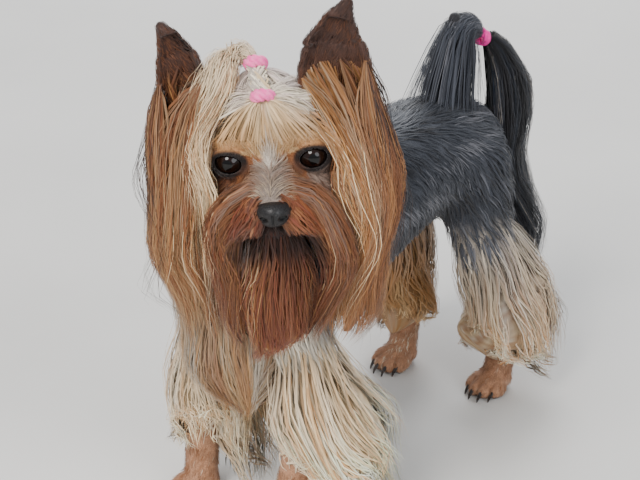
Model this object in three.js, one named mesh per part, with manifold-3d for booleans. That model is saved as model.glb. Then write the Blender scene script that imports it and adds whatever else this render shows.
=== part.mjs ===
// A standing Yorkshire terrier, life size, in millimetres.
// +Z is up. The trunk lies along Y and the chest faces -Y, so the dog's left is +X.
// The head is turned to the dog's left. Each solid reaches out to the tips of the coat.
import * as THREE from 'three';
import { mergeVertices } from 'three/addons/utils/BufferGeometryUtils.js';
import Module from 'manifold-3d';

const wasm = await Module();
wasm.setup();

// Driving dimensions
const GAP = 0.35; // clear space between neighbouring solids
const BACK_HEIGHT = 192; // top of the coat over the ribs

const HEAD_AT = [34.5, -18.5, 216.5]; // midway between the eyes
const HEAD_YAW = 36; // degrees towards the dog's left
const HEAD_ROLL = 5.4; // degrees, left ear raised

const EYE_RADIUS = 8.2;
const EYE_SPACING = 40;
const EYE_DEPTH = 5; // the eye's centre behind the line across the lids
const NOSE = { at: [1.2, -29.5, -15.4], wide: 8.7, deep: 6, high: 6.2, nostril: 4.4 };
const BAND_LOW = [-1, 4.5, 31.5];
const BAND_HIGH = [-4, 17, 44.5];
const BAND = { radius: 4.3, thick: 1.3 };

const PAW = { wide: 10.5, long: 12, high: 8.5, heel: 34 };
const TOE = { wide: 4.4, long: 7, high: 5.4 };
const TOES = [[-7.8, -7], [-2.9, -11], [2.9, -11], [7.8, -7]];
const CLAW = { radius: 1.5, length: 6.5, droop: 62 };
const FEET = {
  fore_left: { at: [25, 4], heel: [29, 9] },
  fore_right: { at: [-30, -5], heel: [-31, 1] },
  hind_left: { at: [32, 190], heel: [33, 203] },
  hind_right: { at: [-31, 181], heel: [-33, 193] },
};
const TAIL_BAND = [1, 212, 208];

const COAT = {
  steel: 0x33363c,
  slate: 0x3a3638,
  tan: 0xa06a3c,
  gold: 0xb98a57,
  cream: 0xcdb795,
  rust: 0x6e3a24,
  ear: 0x5a3a2c,
  paw: 0xa8795c,
};
const EYE_COLOUR = 0x140c0a;
const NOSE_COLOUR = 0x17181b;
const CLAW_COLOUR = 0x2b2422;
const BAND_COLOUR = 0xf06aa8;

const HAIR_FINISH = { roughness: 0.6, metalness: 0 };
const EYE_FINISH = { roughness: 0.12, metalness: 0 };
const NOSE_FINISH = { roughness: 0.35, metalness: 0 };
const CLAW_FINISH = { roughness: 0.4, metalness: 0 };
const BAND_FINISH = { roughness: 0.5, metalness: 0 };

// A closed solid from a three.js geometry, welded first and then swelled by `grow`.
function solidFrom(geometry, grow = 0) {
  const bare = geometry.clone();
  bare.deleteAttribute('normal');
  bare.deleteAttribute('uv');
  const welded = mergeVertices(bare, 1e-4);
  const faces = welded.index.array;
  const build = () => {
    welded.computeVertexNormals();
    const places = new Float32Array(welded.attributes.position.array);
    const normals = welded.attributes.normal.array;
    for (let i = 0; i < places.length; i += 1) places[i] += normals[i] * grow;
    return new wasm.Manifold(new wasm.Mesh({
      numProp: 3,
      vertProperties: places,
      triVerts: new Uint32Array(faces),
    }));
  };
  const solid = build();
  if (solid.volume() > 0) return solid;
  for (let i = 0; i < faces.length; i += 3) [faces[i + 1], faces[i + 2]] = [faces[i + 2], faces[i + 1]];
  return build();
}

const union = (shapes, grow) => shapes.map((shape) => solidFrom(shape, grow)).reduce((a, b) => a.add(b));

// The vertices and triangles of a solid's largest connected body, so that no crumb of a cut is left.
function largestBody(solid) {
  const { vertProperties: places, triVerts: faces, numVert } = solid.getMesh();
  const parent = Array.from({ length: numVert }, (_, i) => i);
  const rootOf = (i) => {
    let k = i;
    while (parent[k] !== k) k = parent[k];
    parent[i] = k;
    return k;
  };
  for (let i = 0; i < faces.length; i += 3) {
    parent[rootOf(faces[i + 1])] = rootOf(faces[i]);
    parent[rootOf(faces[i + 2])] = rootOf(faces[i]);
  }
  const volumes = new Map();
  const corner = (i) => new THREE.Vector3().fromArray(places, faces[i] * 3);
  for (let i = 0; i < faces.length; i += 3) {
    const body = rootOf(faces[i]);
    const part = corner(i).dot(corner(i + 1).cross(corner(i + 2)));
    volumes.set(body, (volumes.get(body) ?? 0) + part);
  }
  const [most] = [...volumes].sort((a, b) => b[1] - a[1])[0];
  const kept = faces.filter((_, i) => rootOf(faces[i - (i % 3)]) === most);
  const geometry = new THREE.BufferGeometry();
  geometry.setAttribute('position', new THREE.BufferAttribute(places, 3));
  geometry.setIndex(new THREE.BufferAttribute(kept, 1));
  const loose = geometry.toNonIndexed();
  loose.computeVertexNormals();
  return loose;
}

// Catmull-Rom value of a list at t from 0 to 1.
function along(values, t) {
  const x = t * (values.length - 1);
  const i = Math.min(Math.floor(x), values.length - 2);
  const f = x - i;
  const at = (k) => values[Math.max(0, Math.min(values.length - 1, k))];
  const [a, b, c, d] = [at(i - 1), at(i), at(i + 1), at(i + 2)];
  const slope = (c - a) * f + (2 * a - 5 * b + 4 * c - d) * f * f + (3 * b - a - 3 * c + d) * f ** 3;
  return Math.max(0.2, b + slope / 2);
}

// A closed body carried along stations of [x, y, z, half width, half depth]. The width lies across the
// vector `across`. Its ends are blunter with a smaller `round`. `locks` ripples the outline towards the
// far end, as hair does where it parts into locks.
function swept(stations, options = {}) {
  const { across = [1, 0, 0], around = 12, steps = 9, round = 0.35, locks = 0, ripple = 0.07 } = options;
  const path = new THREE.CatmullRomCurve3(stations.map(([x, y, z]) => new THREE.Vector3(x, y, z)));
  const wides = stations.map((station) => station[3]);
  const deeps = stations.map((station) => station[4]);
  const shape = new THREE.SphereGeometry(1, around, steps);
  const spots = shape.attributes.position;
  const side = new THREE.Vector3(...across);
  const spot = new THREE.Vector3();
  for (let i = 0; i < spots.count; i += 1) {
    spot.fromBufferAttribute(spots, i);
    const angle = Math.acos(THREE.MathUtils.clamp(spot.y, -1, 1));
    const t = angle / Math.PI;
    const spin = Math.atan2(spot.z, spot.x);
    const end = Math.sin(angle) < 1e-5 ? 0 : Math.sin(angle) ** round;
    const tangent = path.getTangent(t);
    const wideWay = side.clone().addScaledVector(tangent, -side.dot(tangent)).normalize();
    const deepWay = new THREE.Vector3().crossVectors(tangent, wideWay);
    const wave = locks > 0 ? 1 + ripple * t * t * Math.cos(locks * spin) : 1;
    spot.copy(path.getPoint(t));
    spot.addScaledVector(wideWay, end * along(wides, t) * wave * Math.cos(spin));
    spot.addScaledVector(deepWay, end * along(deeps, t) * wave * Math.sin(spin));
    spots.setXYZ(i, spot.x, spot.y, spot.z);
  }
  return shape;
}

// An ellipsoid with its poles front and back, turned by `turn` degrees about Z.
function egg(at, radii, { turn = 0, around = 12, steps = 8 } = {}) {
  const shape = new THREE.SphereGeometry(1, around, steps);
  shape.rotateX(Math.PI / 2);
  shape.scale(...radii);
  shape.rotateZ(THREE.MathUtils.degToRad(turn));
  shape.translate(...at);
  return shape;
}

// A rubber band with its axis turned by `tilt` degrees about X from Y.
function ring(at, tilt) {
  const corners = 5;
  const profile = Array.from({ length: corners + 1 }, (_, i) => {
    const angle = (i / corners) * Math.PI * 2;
    return new THREE.Vector2(
      BAND.radius + Math.cos(angle) * BAND.thick,
      Math.sin(angle) * BAND.thick * 1.5,
    );
  });
  const shape = new THREE.LatheGeometry(profile, 10);
  shape.rotateX(THREE.MathUtils.degToRad(tilt));
  shape.translate(...at);
  return shape;
}

// Head frame: X to the dog's left, -Y along the muzzle, +Z to the crown.
const head = new THREE.Group();
head.position.set(...HEAD_AT);
head.rotateZ(THREE.MathUtils.degToRad(HEAD_YAW));
head.rotateY(THREE.MathUtils.degToRad(-HEAD_ROLL));
head.updateMatrixWorld(true);
const onHead = (...shapes) => shapes.map((shape) => shape.applyMatrix4(head.matrixWorld));

const eye = (s) => onHead(egg([s * EYE_SPACING / 2, EYE_DEPTH, 0], Array(3).fill(EYE_RADIUS), {
  around: 12, steps: 7,
}));

const nosePad = () => onHead(egg(NOSE.at, [NOSE.wide, NOSE.deep, NOSE.high], { around: 10, steps: 5 }));

const nostrils = () => onHead(...[1, -1].map((s) => egg(
  [NOSE.at[0] + s * NOSE.nostril, NOSE.at[1] - NOSE.deep + 0.8, NOSE.at[2] - 1],
  [1.8, 2.2, 1.6],
  { around: 5, steps: 4, turn: s * 25 },
)));

// Crown, nape and the flat of the face around the eyes, with their short coat.
const skull = () => onHead(
  egg([0, 26, 10], [30, 28, 29], { around: 11, steps: 6 }),
  egg([0, 42, -2], [26, 20, 26], { around: 9, steps: 4 }),
  egg([0, 14, -3], [33, 17, 23], { around: 10, steps: 5 }),
);

const muzzle = () => onHead(swept([
  [0, 6, -10, 20, 15], [0, -8, -13, 18.5, 13.5], [0, -18, -15.5, 17, 11.5], [1, -27.5, -16.5, 12, 8.5],
], { round: 0.45, steps: 7 }));

const jaw = () => onHead(swept([
  [0, 12, -29, 16, 9], [0, -4, -31.5, 14, 8], [0, -16, -31, 11.5, 6.5], [0.5, -24, -29, 7.5, 4.5],
], { round: 0.45, around: 8, steps: 6 }));

// An ear is an upright leaf with a narrower leaf hollowed from its front.
const EAR_LEFT = [
  [33, 20, 18, 20, 9], [34, 22, 38, 19, 8], [34, 24, 47, 16.5, 6.6], [37.5, 25, 59, 9.5, 4.6],
  [43, 25, 71, 2.6, 2.4],
];
const EAR_RIGHT = [
  [-37, 20, 16, 17, 10], [-41, 22, 36, 14.5, 9.5], [-42, 24, 47, 12.5, 7.4], [-45, 25, 57, 7.5, 5],
  [-48, 25, 65.5, 3, 2.8],
];
const earOuter = (leaf, across) => onHead(swept(leaf, { across, round: 0.25, around: 12, steps: 7 }));
const earHollow = (leaf, across) => onHead(swept(
  leaf.map(([x, y, z, wide, deep]) => [x - across[1] * 5, y - 5.5, z + 7 - z * 0.14, wide * 0.84, deep * 0.8]),
  { across, round: 0.25, around: 8, steps: 5 },
));

// Hair gathered from the forehead into the lower band, then plaited up to the upper band.
const topknot = () => onHead(swept([
  [0, -4, 20, 14, 3.5], [-0.5, 1, 27, 9, 4.5], [...BAND_LOW, 4, 4], [-2.5, 9.5, 37, 6, 5.4],
  [-3.4, 13.5, 41, 5.4, 5], [...BAND_HIGH, 4, 4], [-6, 20, 49, 5.6, 5],
], { around: 7, steps: 9 }));

// The loose end of the topknot arches to the right and falls beside the right eye.
const topknotFall = () => onHead(swept([
  [-9, 21, 49, 4, 4], [-16, 22, 50, 6, 5], [-25, 20, 43, 6, 5], [-31, 12, 27, 6, 4.5],
  [-35.5, 2, 10, 6, 4.5], [-39, -6, -8, 6, 4.5], [-42, -9, -30, 5, 4],
], { across: [1, 0, 0.4], around: 8, steps: 9 }));

// Long hair at the sides of the face, from the ear's root down to the chest.
const faceFallLeft = () => onHead(swept([
  [33, 18, 38, 13, 12], [38.5, 16, 23, 15, 18], [46, 12, -2, 15, 21], [47.5, 10, -28, 14, 22],
  [42.5, 9, -55, 13.5, 20], [33, 7, -81, 13.5, 16], [21, 4, -107, 9, 9],
], { steps: 8, locks: 4 }));
const faceFallRight = () => onHead(swept([
  [-40, 16, 42, 12, 13], [-42.5, 14, 28, 15, 19], [-46.5, 12, 4, 16, 22], [-49, 10, -22, 15.5, 23],
  [-49.5, 9, -48, 13, 20], [-44.5, 7, -75, 14, 16], [-36, 2, -104, 10, 9],
], { around: 11, steps: 8, locks: 4 }));

// The moustache parts on the bridge, sweeps out and falls at each side of the mouth.
const moustacheLeft = () => onHead(swept([
  [12, -17, -10, 7, 7], [22, -15, -21, 7.5, 8], [27, -13, -43, 7, 9], [24.5, -11, -62, 8, 9],
  [17, -11, -80, 8.5, 9], [7, -11, -95, 5, 6],
], { around: 8, steps: 8 }));
const moustacheRight = () => onHead(swept([
  [-12, -17, -11, 7, 7], [-23, -15, -21, 7.5, 8], [-28.5, -13, -40, 7, 9], [-27, -11, -58, 8, 9],
  [-22, -11, -77, 8.5, 9], [-14, -11, -94, 5, 6],
], { around: 8, steps: 8 }));

const beard = () => onHead(swept([
  [0, -17, -33, 19, 9], [0, -18, -46, 20, 10], [-1.5, -17, -62, 18, 10], [-5, -15, -80, 14, 9],
  [-8.5, -14, -95, 9, 7], [-10.5, -13, -107, 3, 3],
], { steps: 8, locks: 3 }));

const neck = () => [swept([
  [0, 34, 150, 40, 38], [3, 24, 172, 37, 36], [8, 15, 196, 33, 34], [14, 5, 214, 24, 24],
], { around: 11, steps: 5 })];

// Long pale hair on the forechest, under the beard.
const chestCoat = () => [swept([
  [9, -20, 166, 24, 14], [5, -27, 144, 29, 14], [3, -26, 118, 28, 15], [4, -20, 94, 23, 16],
  [5, -12, 74, 15, 12], [6, -8, 62, 5, 6],
], { around: 11, steps: 7, locks: 4 })];

// The ribs and the loins, whose surfaces meet flush behind the ribs.
const trunkFront = () => [swept([
  [0, -30, 139, 20, 24], [0, -10, 140, 36, 44], [0, 22, BACK_HEIGHT - 53, 43, 52],
  [0, 52, BACK_HEIGHT - 51, 45, 50], [0, 84, BACK_HEIGHT - 46, 42, 43],
], { around: 11, steps: 6 })];
const trunkRear = () => [swept([
  [0, 24, BACK_HEIGHT - 45, 34, 35], [0, 52, BACK_HEIGHT - 45.5, 44, 45], [0, 80, BACK_HEIGHT - 44.5, 43.5, 44],
  [0, 106, BACK_HEIGHT - 41, 42, 40.5], [0, 132, BACK_HEIGHT - 39, 40, 37], [0, 162, BACK_HEIGHT - 41, 40, 36],
  [0, 188, BACK_HEIGHT - 46, 38, 35], [0, 209, BACK_HEIGHT - 50, 27, 27],
], { around: 11, steps: 7, round: 0.4 })];

const foreUpper = (s) => [swept([
  [s * 27, 2, 142, 17, 24], [s * 31, 6, 122, 18, 25], [s * 31, 12, 96, 19, 25], [s * 30, 10, 82, 18, 23],
], { steps: 7 })];
const thigh = (s) => [swept([
  [s * 24, 172, 154, 18, 29], [s * 27, 172, 134, 20, 33], [s * 30, 174, 116, 19, 32], [s * 32, 178, 100, 18, 28],
], { steps: 7 })];

// The long coat of the legs swells towards the ground and is swept back over the paws.
const FEATHER = { around: 12, steps: 7, locks: 6, ripple: 0.08 };
const foreLowerLeft = () => [swept([
  [31, 14, 104, 20, 25], [34, 14, 86, 25, 30], [38, 17, 66, 29, 34], [42, 22, 48, 31, 36],
  [41, 21, 34, 28, 31], [32, 11, 23, 15, 16],
], FEATHER)];
const foreLowerRight = () => [swept([
  [-31, 12, 104, 20, 25], [-32, 13, 86, 25, 30], [-31, 16, 66, 28, 33], [-29, 19, 46, 30, 36],
  [-28, 13, 31, 26, 32], [-30, -1, 20, 14, 15],
], FEATHER)];
const hindLowerLeft = () => [swept([
  [31, 180, 108, 19, 29], [34, 187, 88, 24, 34], [35, 192, 66, 26, 38], [36, 194, 46, 26, 40],
  [33, 189, 31, 23, 34], [32, 180, 20, 13, 15],
], FEATHER)];
const hindLowerRight = () => [swept([
  [-31, 174, 108, 19, 29], [-34, 180, 88, 22, 32], [-36, 186, 66, 23, 32], [-37, 190, 46, 22, 30],
  [-34, 188, 32, 17, 23], [-32, 182, 22, 11, 13],
], FEATHER)];

// A trimmed foot: pastern, pad and four toes, cut flat where it meets the floor.
const paw = ({ at: [x, y], heel }) => [
  egg([x, y, PAW.high - 1.5], [PAW.wide, PAW.long, PAW.high], { around: 7, steps: 4 }),
  swept([
    [x, y + 3, 8, 9.5, 9.5], [(x + heel[0]) / 2, (y + heel[1]) / 2 + 2, 20, 9, 9], [...heel, PAW.heel, 9.5, 10],
  ], { around: 6, steps: 3 }),
  ...TOES.map(([dx, dy]) => egg(
    [x + dx, y + dy, TOE.high - 0.8],
    [TOE.wide, TOE.long, TOE.high],
    { around: 5, steps: 4, turn: dx * 2 },
  )),
];
const floor = () => [new THREE.BoxGeometry(900, 900, 20).translate(0, 100, -10)];

const claw = ({ at: [x, y] }, [dx, dy]) => {
  const cone = new THREE.ConeGeometry(CLAW.radius, CLAW.length, 5);
  cone.rotateX(Math.PI / 2 + THREE.MathUtils.degToRad(90 - CLAW.droop));
  cone.rotateZ(THREE.MathUtils.degToRad(dx * 2));
  cone.translate(x + dx * 1.04, y + dy - TOE.long - 0.4, TOE.high - 1.2);
  return [cone];
};

// The docked tail stands up from the croup, its hair combed back to the band.
const tailDock = () => [swept([
  [0, 176, 164, 13, 20], [0, 180, 186, 12.5, 19], [0, 184, 204, 11.5, 17], [0, 186, 218, 9.5, 14],
  [0, 186, 229, 6, 8], [0, 186, 236, 3, 3],
], { around: 10, steps: 8, locks: 3 })];
const tailGather = () => [swept([
  [0, 190, 214, 7, 9], [0.5, 202, 212, 5.5, 6.5], [...TAIL_BAND, 3.4, 3.6], [2, 218, 206, 5, 5],
], { around: 6, steps: 6 })];
const tailFall = () => [swept([
  [3, 220, 204, 5, 5], [9.5, 226, 190, 8, 8], [12.5, 228, 164, 10, 11], [11, 228, 137, 10, 12],
  [12.5, 228, 111, 9.5, 12], [21, 228, 86, 9, 10], [27, 228, 60, 3, 3],
], { around: 10, locks: 3 })];

// Nodes in the order in which they are settled: each is cut back from those before it.
const nodes = [];
const node = (name, group, color, finish, add, cut = []) => nodes.push({ name, group, color, finish, add, cut });

const body = new THREE.Group();
const tail = new THREE.Group();
tail.position.set(0, 182, 176);
body.add(head, tail);
const legs = {};
Object.entries(FEET).forEach(([name, { at }]) => {
  legs[name] = new THREE.Group();
  legs[name].position.set(...at, 0);
  body.add(legs[name]);
});

node('eye_left', head, EYE_COLOUR, EYE_FINISH, eye(1));
node('eye_right', head, EYE_COLOUR, EYE_FINISH, eye(-1));
node('nose', head, NOSE_COLOUR, NOSE_FINISH, nosePad(), nostrils());
node('topknot_band_low', head, BAND_COLOUR, BAND_FINISH, onHead(ring(BAND_LOW, 50)));
node('topknot_band_high', head, BAND_COLOUR, BAND_FINISH, onHead(ring(BAND_HIGH, 48)));
node('tail_band', tail, BAND_COLOUR, BAND_FINISH, [ring(TAIL_BAND, -20)]);
Object.entries(FEET).forEach(([name, foot]) => {
  TOES.forEach((toe, i) => node(`claw_${name}_${i + 1}`, legs[name], CLAW_COLOUR, CLAW_FINISH, claw(foot, toe)));
  node(`paw_${name}`, legs[name], COAT.paw, HAIR_FINISH, paw(foot), floor());
});
node('ear_left', head, COAT.ear, HAIR_FINISH, earOuter(EAR_LEFT, [1, 0.15, 0]), earHollow(EAR_LEFT, [1, 0.15, 0]));
node('ear_right', head, COAT.ear, HAIR_FINISH, earOuter(EAR_RIGHT, [1, -0.7, 0]), earHollow(EAR_RIGHT, [1, -0.7, 0]));
node('topknot', head, COAT.cream, HAIR_FINISH, topknot());
node('muzzle', head, COAT.tan, HAIR_FINISH, muzzle());
node('skull', head, COAT.gold, HAIR_FINISH, skull());
node('jaw', head, COAT.rust, HAIR_FINISH, jaw());
node('beard', head, COAT.rust, HAIR_FINISH, beard());
node('moustache_left', head, COAT.tan, HAIR_FINISH, moustacheLeft());
node('moustache_right', head, COAT.tan, HAIR_FINISH, moustacheRight());
node('topknot_fall', head, COAT.cream, HAIR_FINISH, topknotFall());
node('neck', body, COAT.gold, HAIR_FINISH, neck());
node('fore_upper_left', legs.fore_left, COAT.gold, HAIR_FINISH, foreUpper(1));
node('fore_upper_right', legs.fore_right, COAT.gold, HAIR_FINISH, foreUpper(-1));
node('thigh_left', legs.hind_left, COAT.steel, HAIR_FINISH, thigh(1));
node('thigh_right', legs.hind_right, COAT.steel, HAIR_FINISH, thigh(-1));
node('tail_dock', tail, COAT.slate, HAIR_FINISH, tailDock());
node('trunk_front', body, COAT.steel, HAIR_FINISH, trunkFront());
node('trunk_rear', body, COAT.steel, HAIR_FINISH, trunkRear());
node('fore_lower_left', legs.fore_left, COAT.cream, HAIR_FINISH, foreLowerLeft());
node('fore_lower_right', legs.fore_right, COAT.cream, HAIR_FINISH, foreLowerRight());
node('hind_lower_left', legs.hind_left, COAT.cream, HAIR_FINISH, hindLowerLeft());
node('hind_lower_right', legs.hind_right, COAT.gold, HAIR_FINISH, hindLowerRight());
node('tail_gather', tail, COAT.slate, HAIR_FINISH, tailGather());
node('tail_fall', tail, COAT.slate, HAIR_FINISH, tailFall());
node('face_fall_left', head, COAT.gold, HAIR_FINISH, faceFallLeft());
node('face_fall_right', head, COAT.gold, HAIR_FINISH, faceFallRight());
node('chest_coat', body, COAT.cream, HAIR_FINISH, chestCoat());

body.updateMatrixWorld(true);
const settled = [];
nodes.forEach(({ name, group, color, finish, add, cut }) => {
  let solid = union(add, 0);
  if (cut.length > 0) solid = solid.subtract(union(cut, 0));
  settled.forEach((grown) => {
    solid = solid.subtract(grown);
  });
  settled.push(union(add, GAP));
  const geometry = largestBody(solid).applyMatrix4(group.matrixWorld.clone().invert());
  const mesh = new THREE.Mesh(geometry, new THREE.MeshStandardMaterial({ color, ...finish }));
  mesh.name = name;
  group.add(mesh);
});

// The origin is on the floor, at the middle of the outline's box.
const outline = new THREE.Box3().setFromObject(body, true);
const middle = outline.getCenter(new THREE.Vector3());
const dog = new THREE.Group();
dog.add(body);
body.position.set(-middle.x, -middle.y, 0);

export default dog;
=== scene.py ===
"""A still, life-size Yorkshire terrier: skin, eyes, nose, claws, hair bands and a long combed coat.

Lengths in the tables are millimetres in the dog's own frame: +X is the dog's left, -Y is ahead of the
chest and +Z is up, with the floor at z = 0. They become metres in the model's frame in placed().
"""
import functools
import math

import bpy
import numpy as np
from bpy.props import FloatProperty, FloatVectorProperty, PointerProperty
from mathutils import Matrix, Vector


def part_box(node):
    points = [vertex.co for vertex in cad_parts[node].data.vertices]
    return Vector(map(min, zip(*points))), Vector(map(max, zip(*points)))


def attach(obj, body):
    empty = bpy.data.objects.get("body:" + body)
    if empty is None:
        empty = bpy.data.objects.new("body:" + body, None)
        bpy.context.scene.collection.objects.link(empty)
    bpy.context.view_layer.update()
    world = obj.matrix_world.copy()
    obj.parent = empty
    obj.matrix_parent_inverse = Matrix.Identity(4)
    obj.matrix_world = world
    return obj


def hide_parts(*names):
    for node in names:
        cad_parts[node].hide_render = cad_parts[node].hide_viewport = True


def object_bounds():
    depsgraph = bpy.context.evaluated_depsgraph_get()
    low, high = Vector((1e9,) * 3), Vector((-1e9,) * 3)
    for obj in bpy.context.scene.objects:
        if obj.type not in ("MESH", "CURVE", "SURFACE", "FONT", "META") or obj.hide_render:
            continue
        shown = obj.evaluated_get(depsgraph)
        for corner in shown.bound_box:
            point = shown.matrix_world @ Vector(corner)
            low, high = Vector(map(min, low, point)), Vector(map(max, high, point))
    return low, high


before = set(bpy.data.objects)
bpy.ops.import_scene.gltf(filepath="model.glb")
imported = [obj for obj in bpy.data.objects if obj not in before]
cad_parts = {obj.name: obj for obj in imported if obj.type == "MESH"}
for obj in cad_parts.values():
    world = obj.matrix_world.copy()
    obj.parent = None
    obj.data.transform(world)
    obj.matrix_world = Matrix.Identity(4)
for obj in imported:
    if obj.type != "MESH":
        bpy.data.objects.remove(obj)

bl_info = {
    "name": "Still terrier",
    "version": (1, 0, 0),
    "blender": (4, 5, 0),
    "location": "View3D > Sidebar > Terrier",
    "description": "Builds the skin, eyes, nose, claws, hair bands and coat of a standing terrier",
    "category": "Add Mesh",
}

CAD_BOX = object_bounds()

# ---------------------------------------------------------------- frames and small helpers

HEAD_AT = np.array([34.5, -18.5, 216.5])
HEAD_YAW, HEAD_ROLL = math.radians(36), math.radians(5.4)
EYE_AT = np.array([20.0, 5.0, 0.0])
EYE_RADIUS = 8.2
BAND_LOW = np.array([-1.0, 4.5, 31.5])
BAND_HIGH = np.array([-4.0, 17.0, 44.5])
TAIL_BAND = np.array([1.0, 212.0, 208.0])
GAZE = (0.14, -1, 0.06)
LID_OPENING, LID_WIDE, LID_HIGH = 6.95, 1.12, 0.78
NOSE_AT = np.array([1.2, -29.5, -15.4])
SOLE, LOWEST_HAIR = 0.4, 1.0
FAR_OUT = 12.0
FINE_CELL, COARSE_CELL = 0.965, 2.15
FULL_TURN = 2 * math.pi
PATCH = 0.003
BRIGHTEST = 0.92
X_AXIS = (1, 0, 0)


def head_axes():
    """The head's X, Y and Z axes as rows: a turn about Z by the yaw after a roll about Y."""
    cy, sy = math.cos(HEAD_YAW), math.sin(HEAD_YAW)
    cr, sr = math.cos(HEAD_ROLL), math.sin(HEAD_ROLL)
    x = np.array([cy * cr, sy * cr, sr])
    z = np.array([-cy * sr, -sy * sr, cr])
    return np.array([x, np.cross(z, x), z])


HEAD = head_axes()


def on_head(points):
    """Points of the dog's frame from head-local ones."""
    return HEAD_AT + np.asarray(points, float) @ HEAD


def to_head(points):
    """Head-local points from ones of the dog's frame."""
    return (np.asarray(points, float) - HEAD_AT) @ HEAD.T


def frame_middle():
    """Where the model's origin is in the dog's frame, from the left eye's box."""
    low, high = (np.array(c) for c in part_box("eye_left"))
    return on_head(EYE_AT) - (low + high) * 500


MIDDLE = frame_middle()


def placed(points):
    """Metres in the model's frame from millimetres in the dog's frame."""
    return (np.asarray(points, float) - MIDDLE) * 0.001


def unit(v):
    """Vectors divided by their length."""
    return v / np.maximum(np.linalg.norm(v, axis=-1, keepdims=True), 1e-9)


def cols(*parts):
    """Arrays or numbers set side by side along a new last axis."""
    return np.stack(np.broadcast_arrays(*parts), -1)


def smooth(low, high, x):
    """A rise from 0 at low to 1 at high, flat at both ends; low may be the greater."""
    t = np.clip((x - low) / (high - low), 0, 1)
    return t * t * (3 - 2 * t)


def basis_of(gaze):
    """A gaze as a unit vector, with the directions to its right and up from it."""
    gaze = unit(np.asarray(gaze, float))
    right = unit(np.cross(gaze, (0, 0, 1.0)))
    return gaze, right, np.cross(right, gaze)


def tint(code):
    """Linear colour of a hexadecimal sRGB code."""
    c = np.array([int(code[i:i + 2], 16) / 255 for i in (0, 2, 4)])
    return np.where(c < 0.04045, c / 12.92, ((c + 0.055) / 1.055) ** 2.4)


def blend(a, b, weight):
    """Colours a and b mixed, with `weight` as the share of b."""
    weight = np.asarray(weight)[..., None]
    return a * (1 - weight) + b * weight


# ---------------------------------------------------------------- the body's shape

FEET = {
    "fore_left": ((25, 4), (29, 9)),
    "fore_right": ((-30, -5), (-31, 1)),
    "hind_left": ((32, 190), (33, 203)),
    "hind_right": ((-31, 181), (-33, 193)),
}
TOES = ((-7.8, -7), (-2.9, -11), (2.9, -11), (7.8, -7))
EAR_LEFT = ((33, 20, 18, 19, 8), (34, 22, 38, 18, 7), (34, 24, 47, 15.6, 5.6), (37.5, 25, 59, 8.7, 3.8),
            (43, 25, 69.5, 2.2, 1.8))
EAR_RIGHT = ((-37, 20, 16, 16.5, 9), (-41, 22, 36, 15, 8.5), (-42, 24, 47, 13, 6.4), (-45, 25, 57, 7.6, 4.2),
             (-48.5, 25, 64.5, 2.5, 2.2))
EAR_ACROSS = {"ear_left": (1, 0.15, 0), "ear_right": (1, -0.7, 0)}


def legs():
    """Stations of the four legs from the shoulder or hip down to the foot."""
    found = {}
    for name, ((fx, fy), (hx, hy)) in FEET.items():
        s = 1 if fx > 0 else -1
        if name.startswith("fore"):
            found[name] = ((s * 27, 2, 140, 14, 20), (s * 30, 6, 120, 13, 19), (s * 31, 12, 98, 12, 15.5),
                           (s * 30.5, 11, 80, 10.5, 12.5), (hx, hy + 1, 55, 8.8, 10), (hx, hy, 34, 8.8, 9.5),
                           (fx, fy + 3, 13, 8.6, 9))
        else:
            found[name] = ((s * 24, 172, 152, 14, 25), (s * 28, 172, 128, 14, 26), (s * 31, 176, 102, 11.5, 19),
                           (s * 32, hy - 14, 80, 9.5, 12.5), (s * 33, hy, 56, 8, 10), (hx, hy, 36, 7.8, 9),
                           (fx, fy + 5, 13, 8, 9))
    return found


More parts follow.
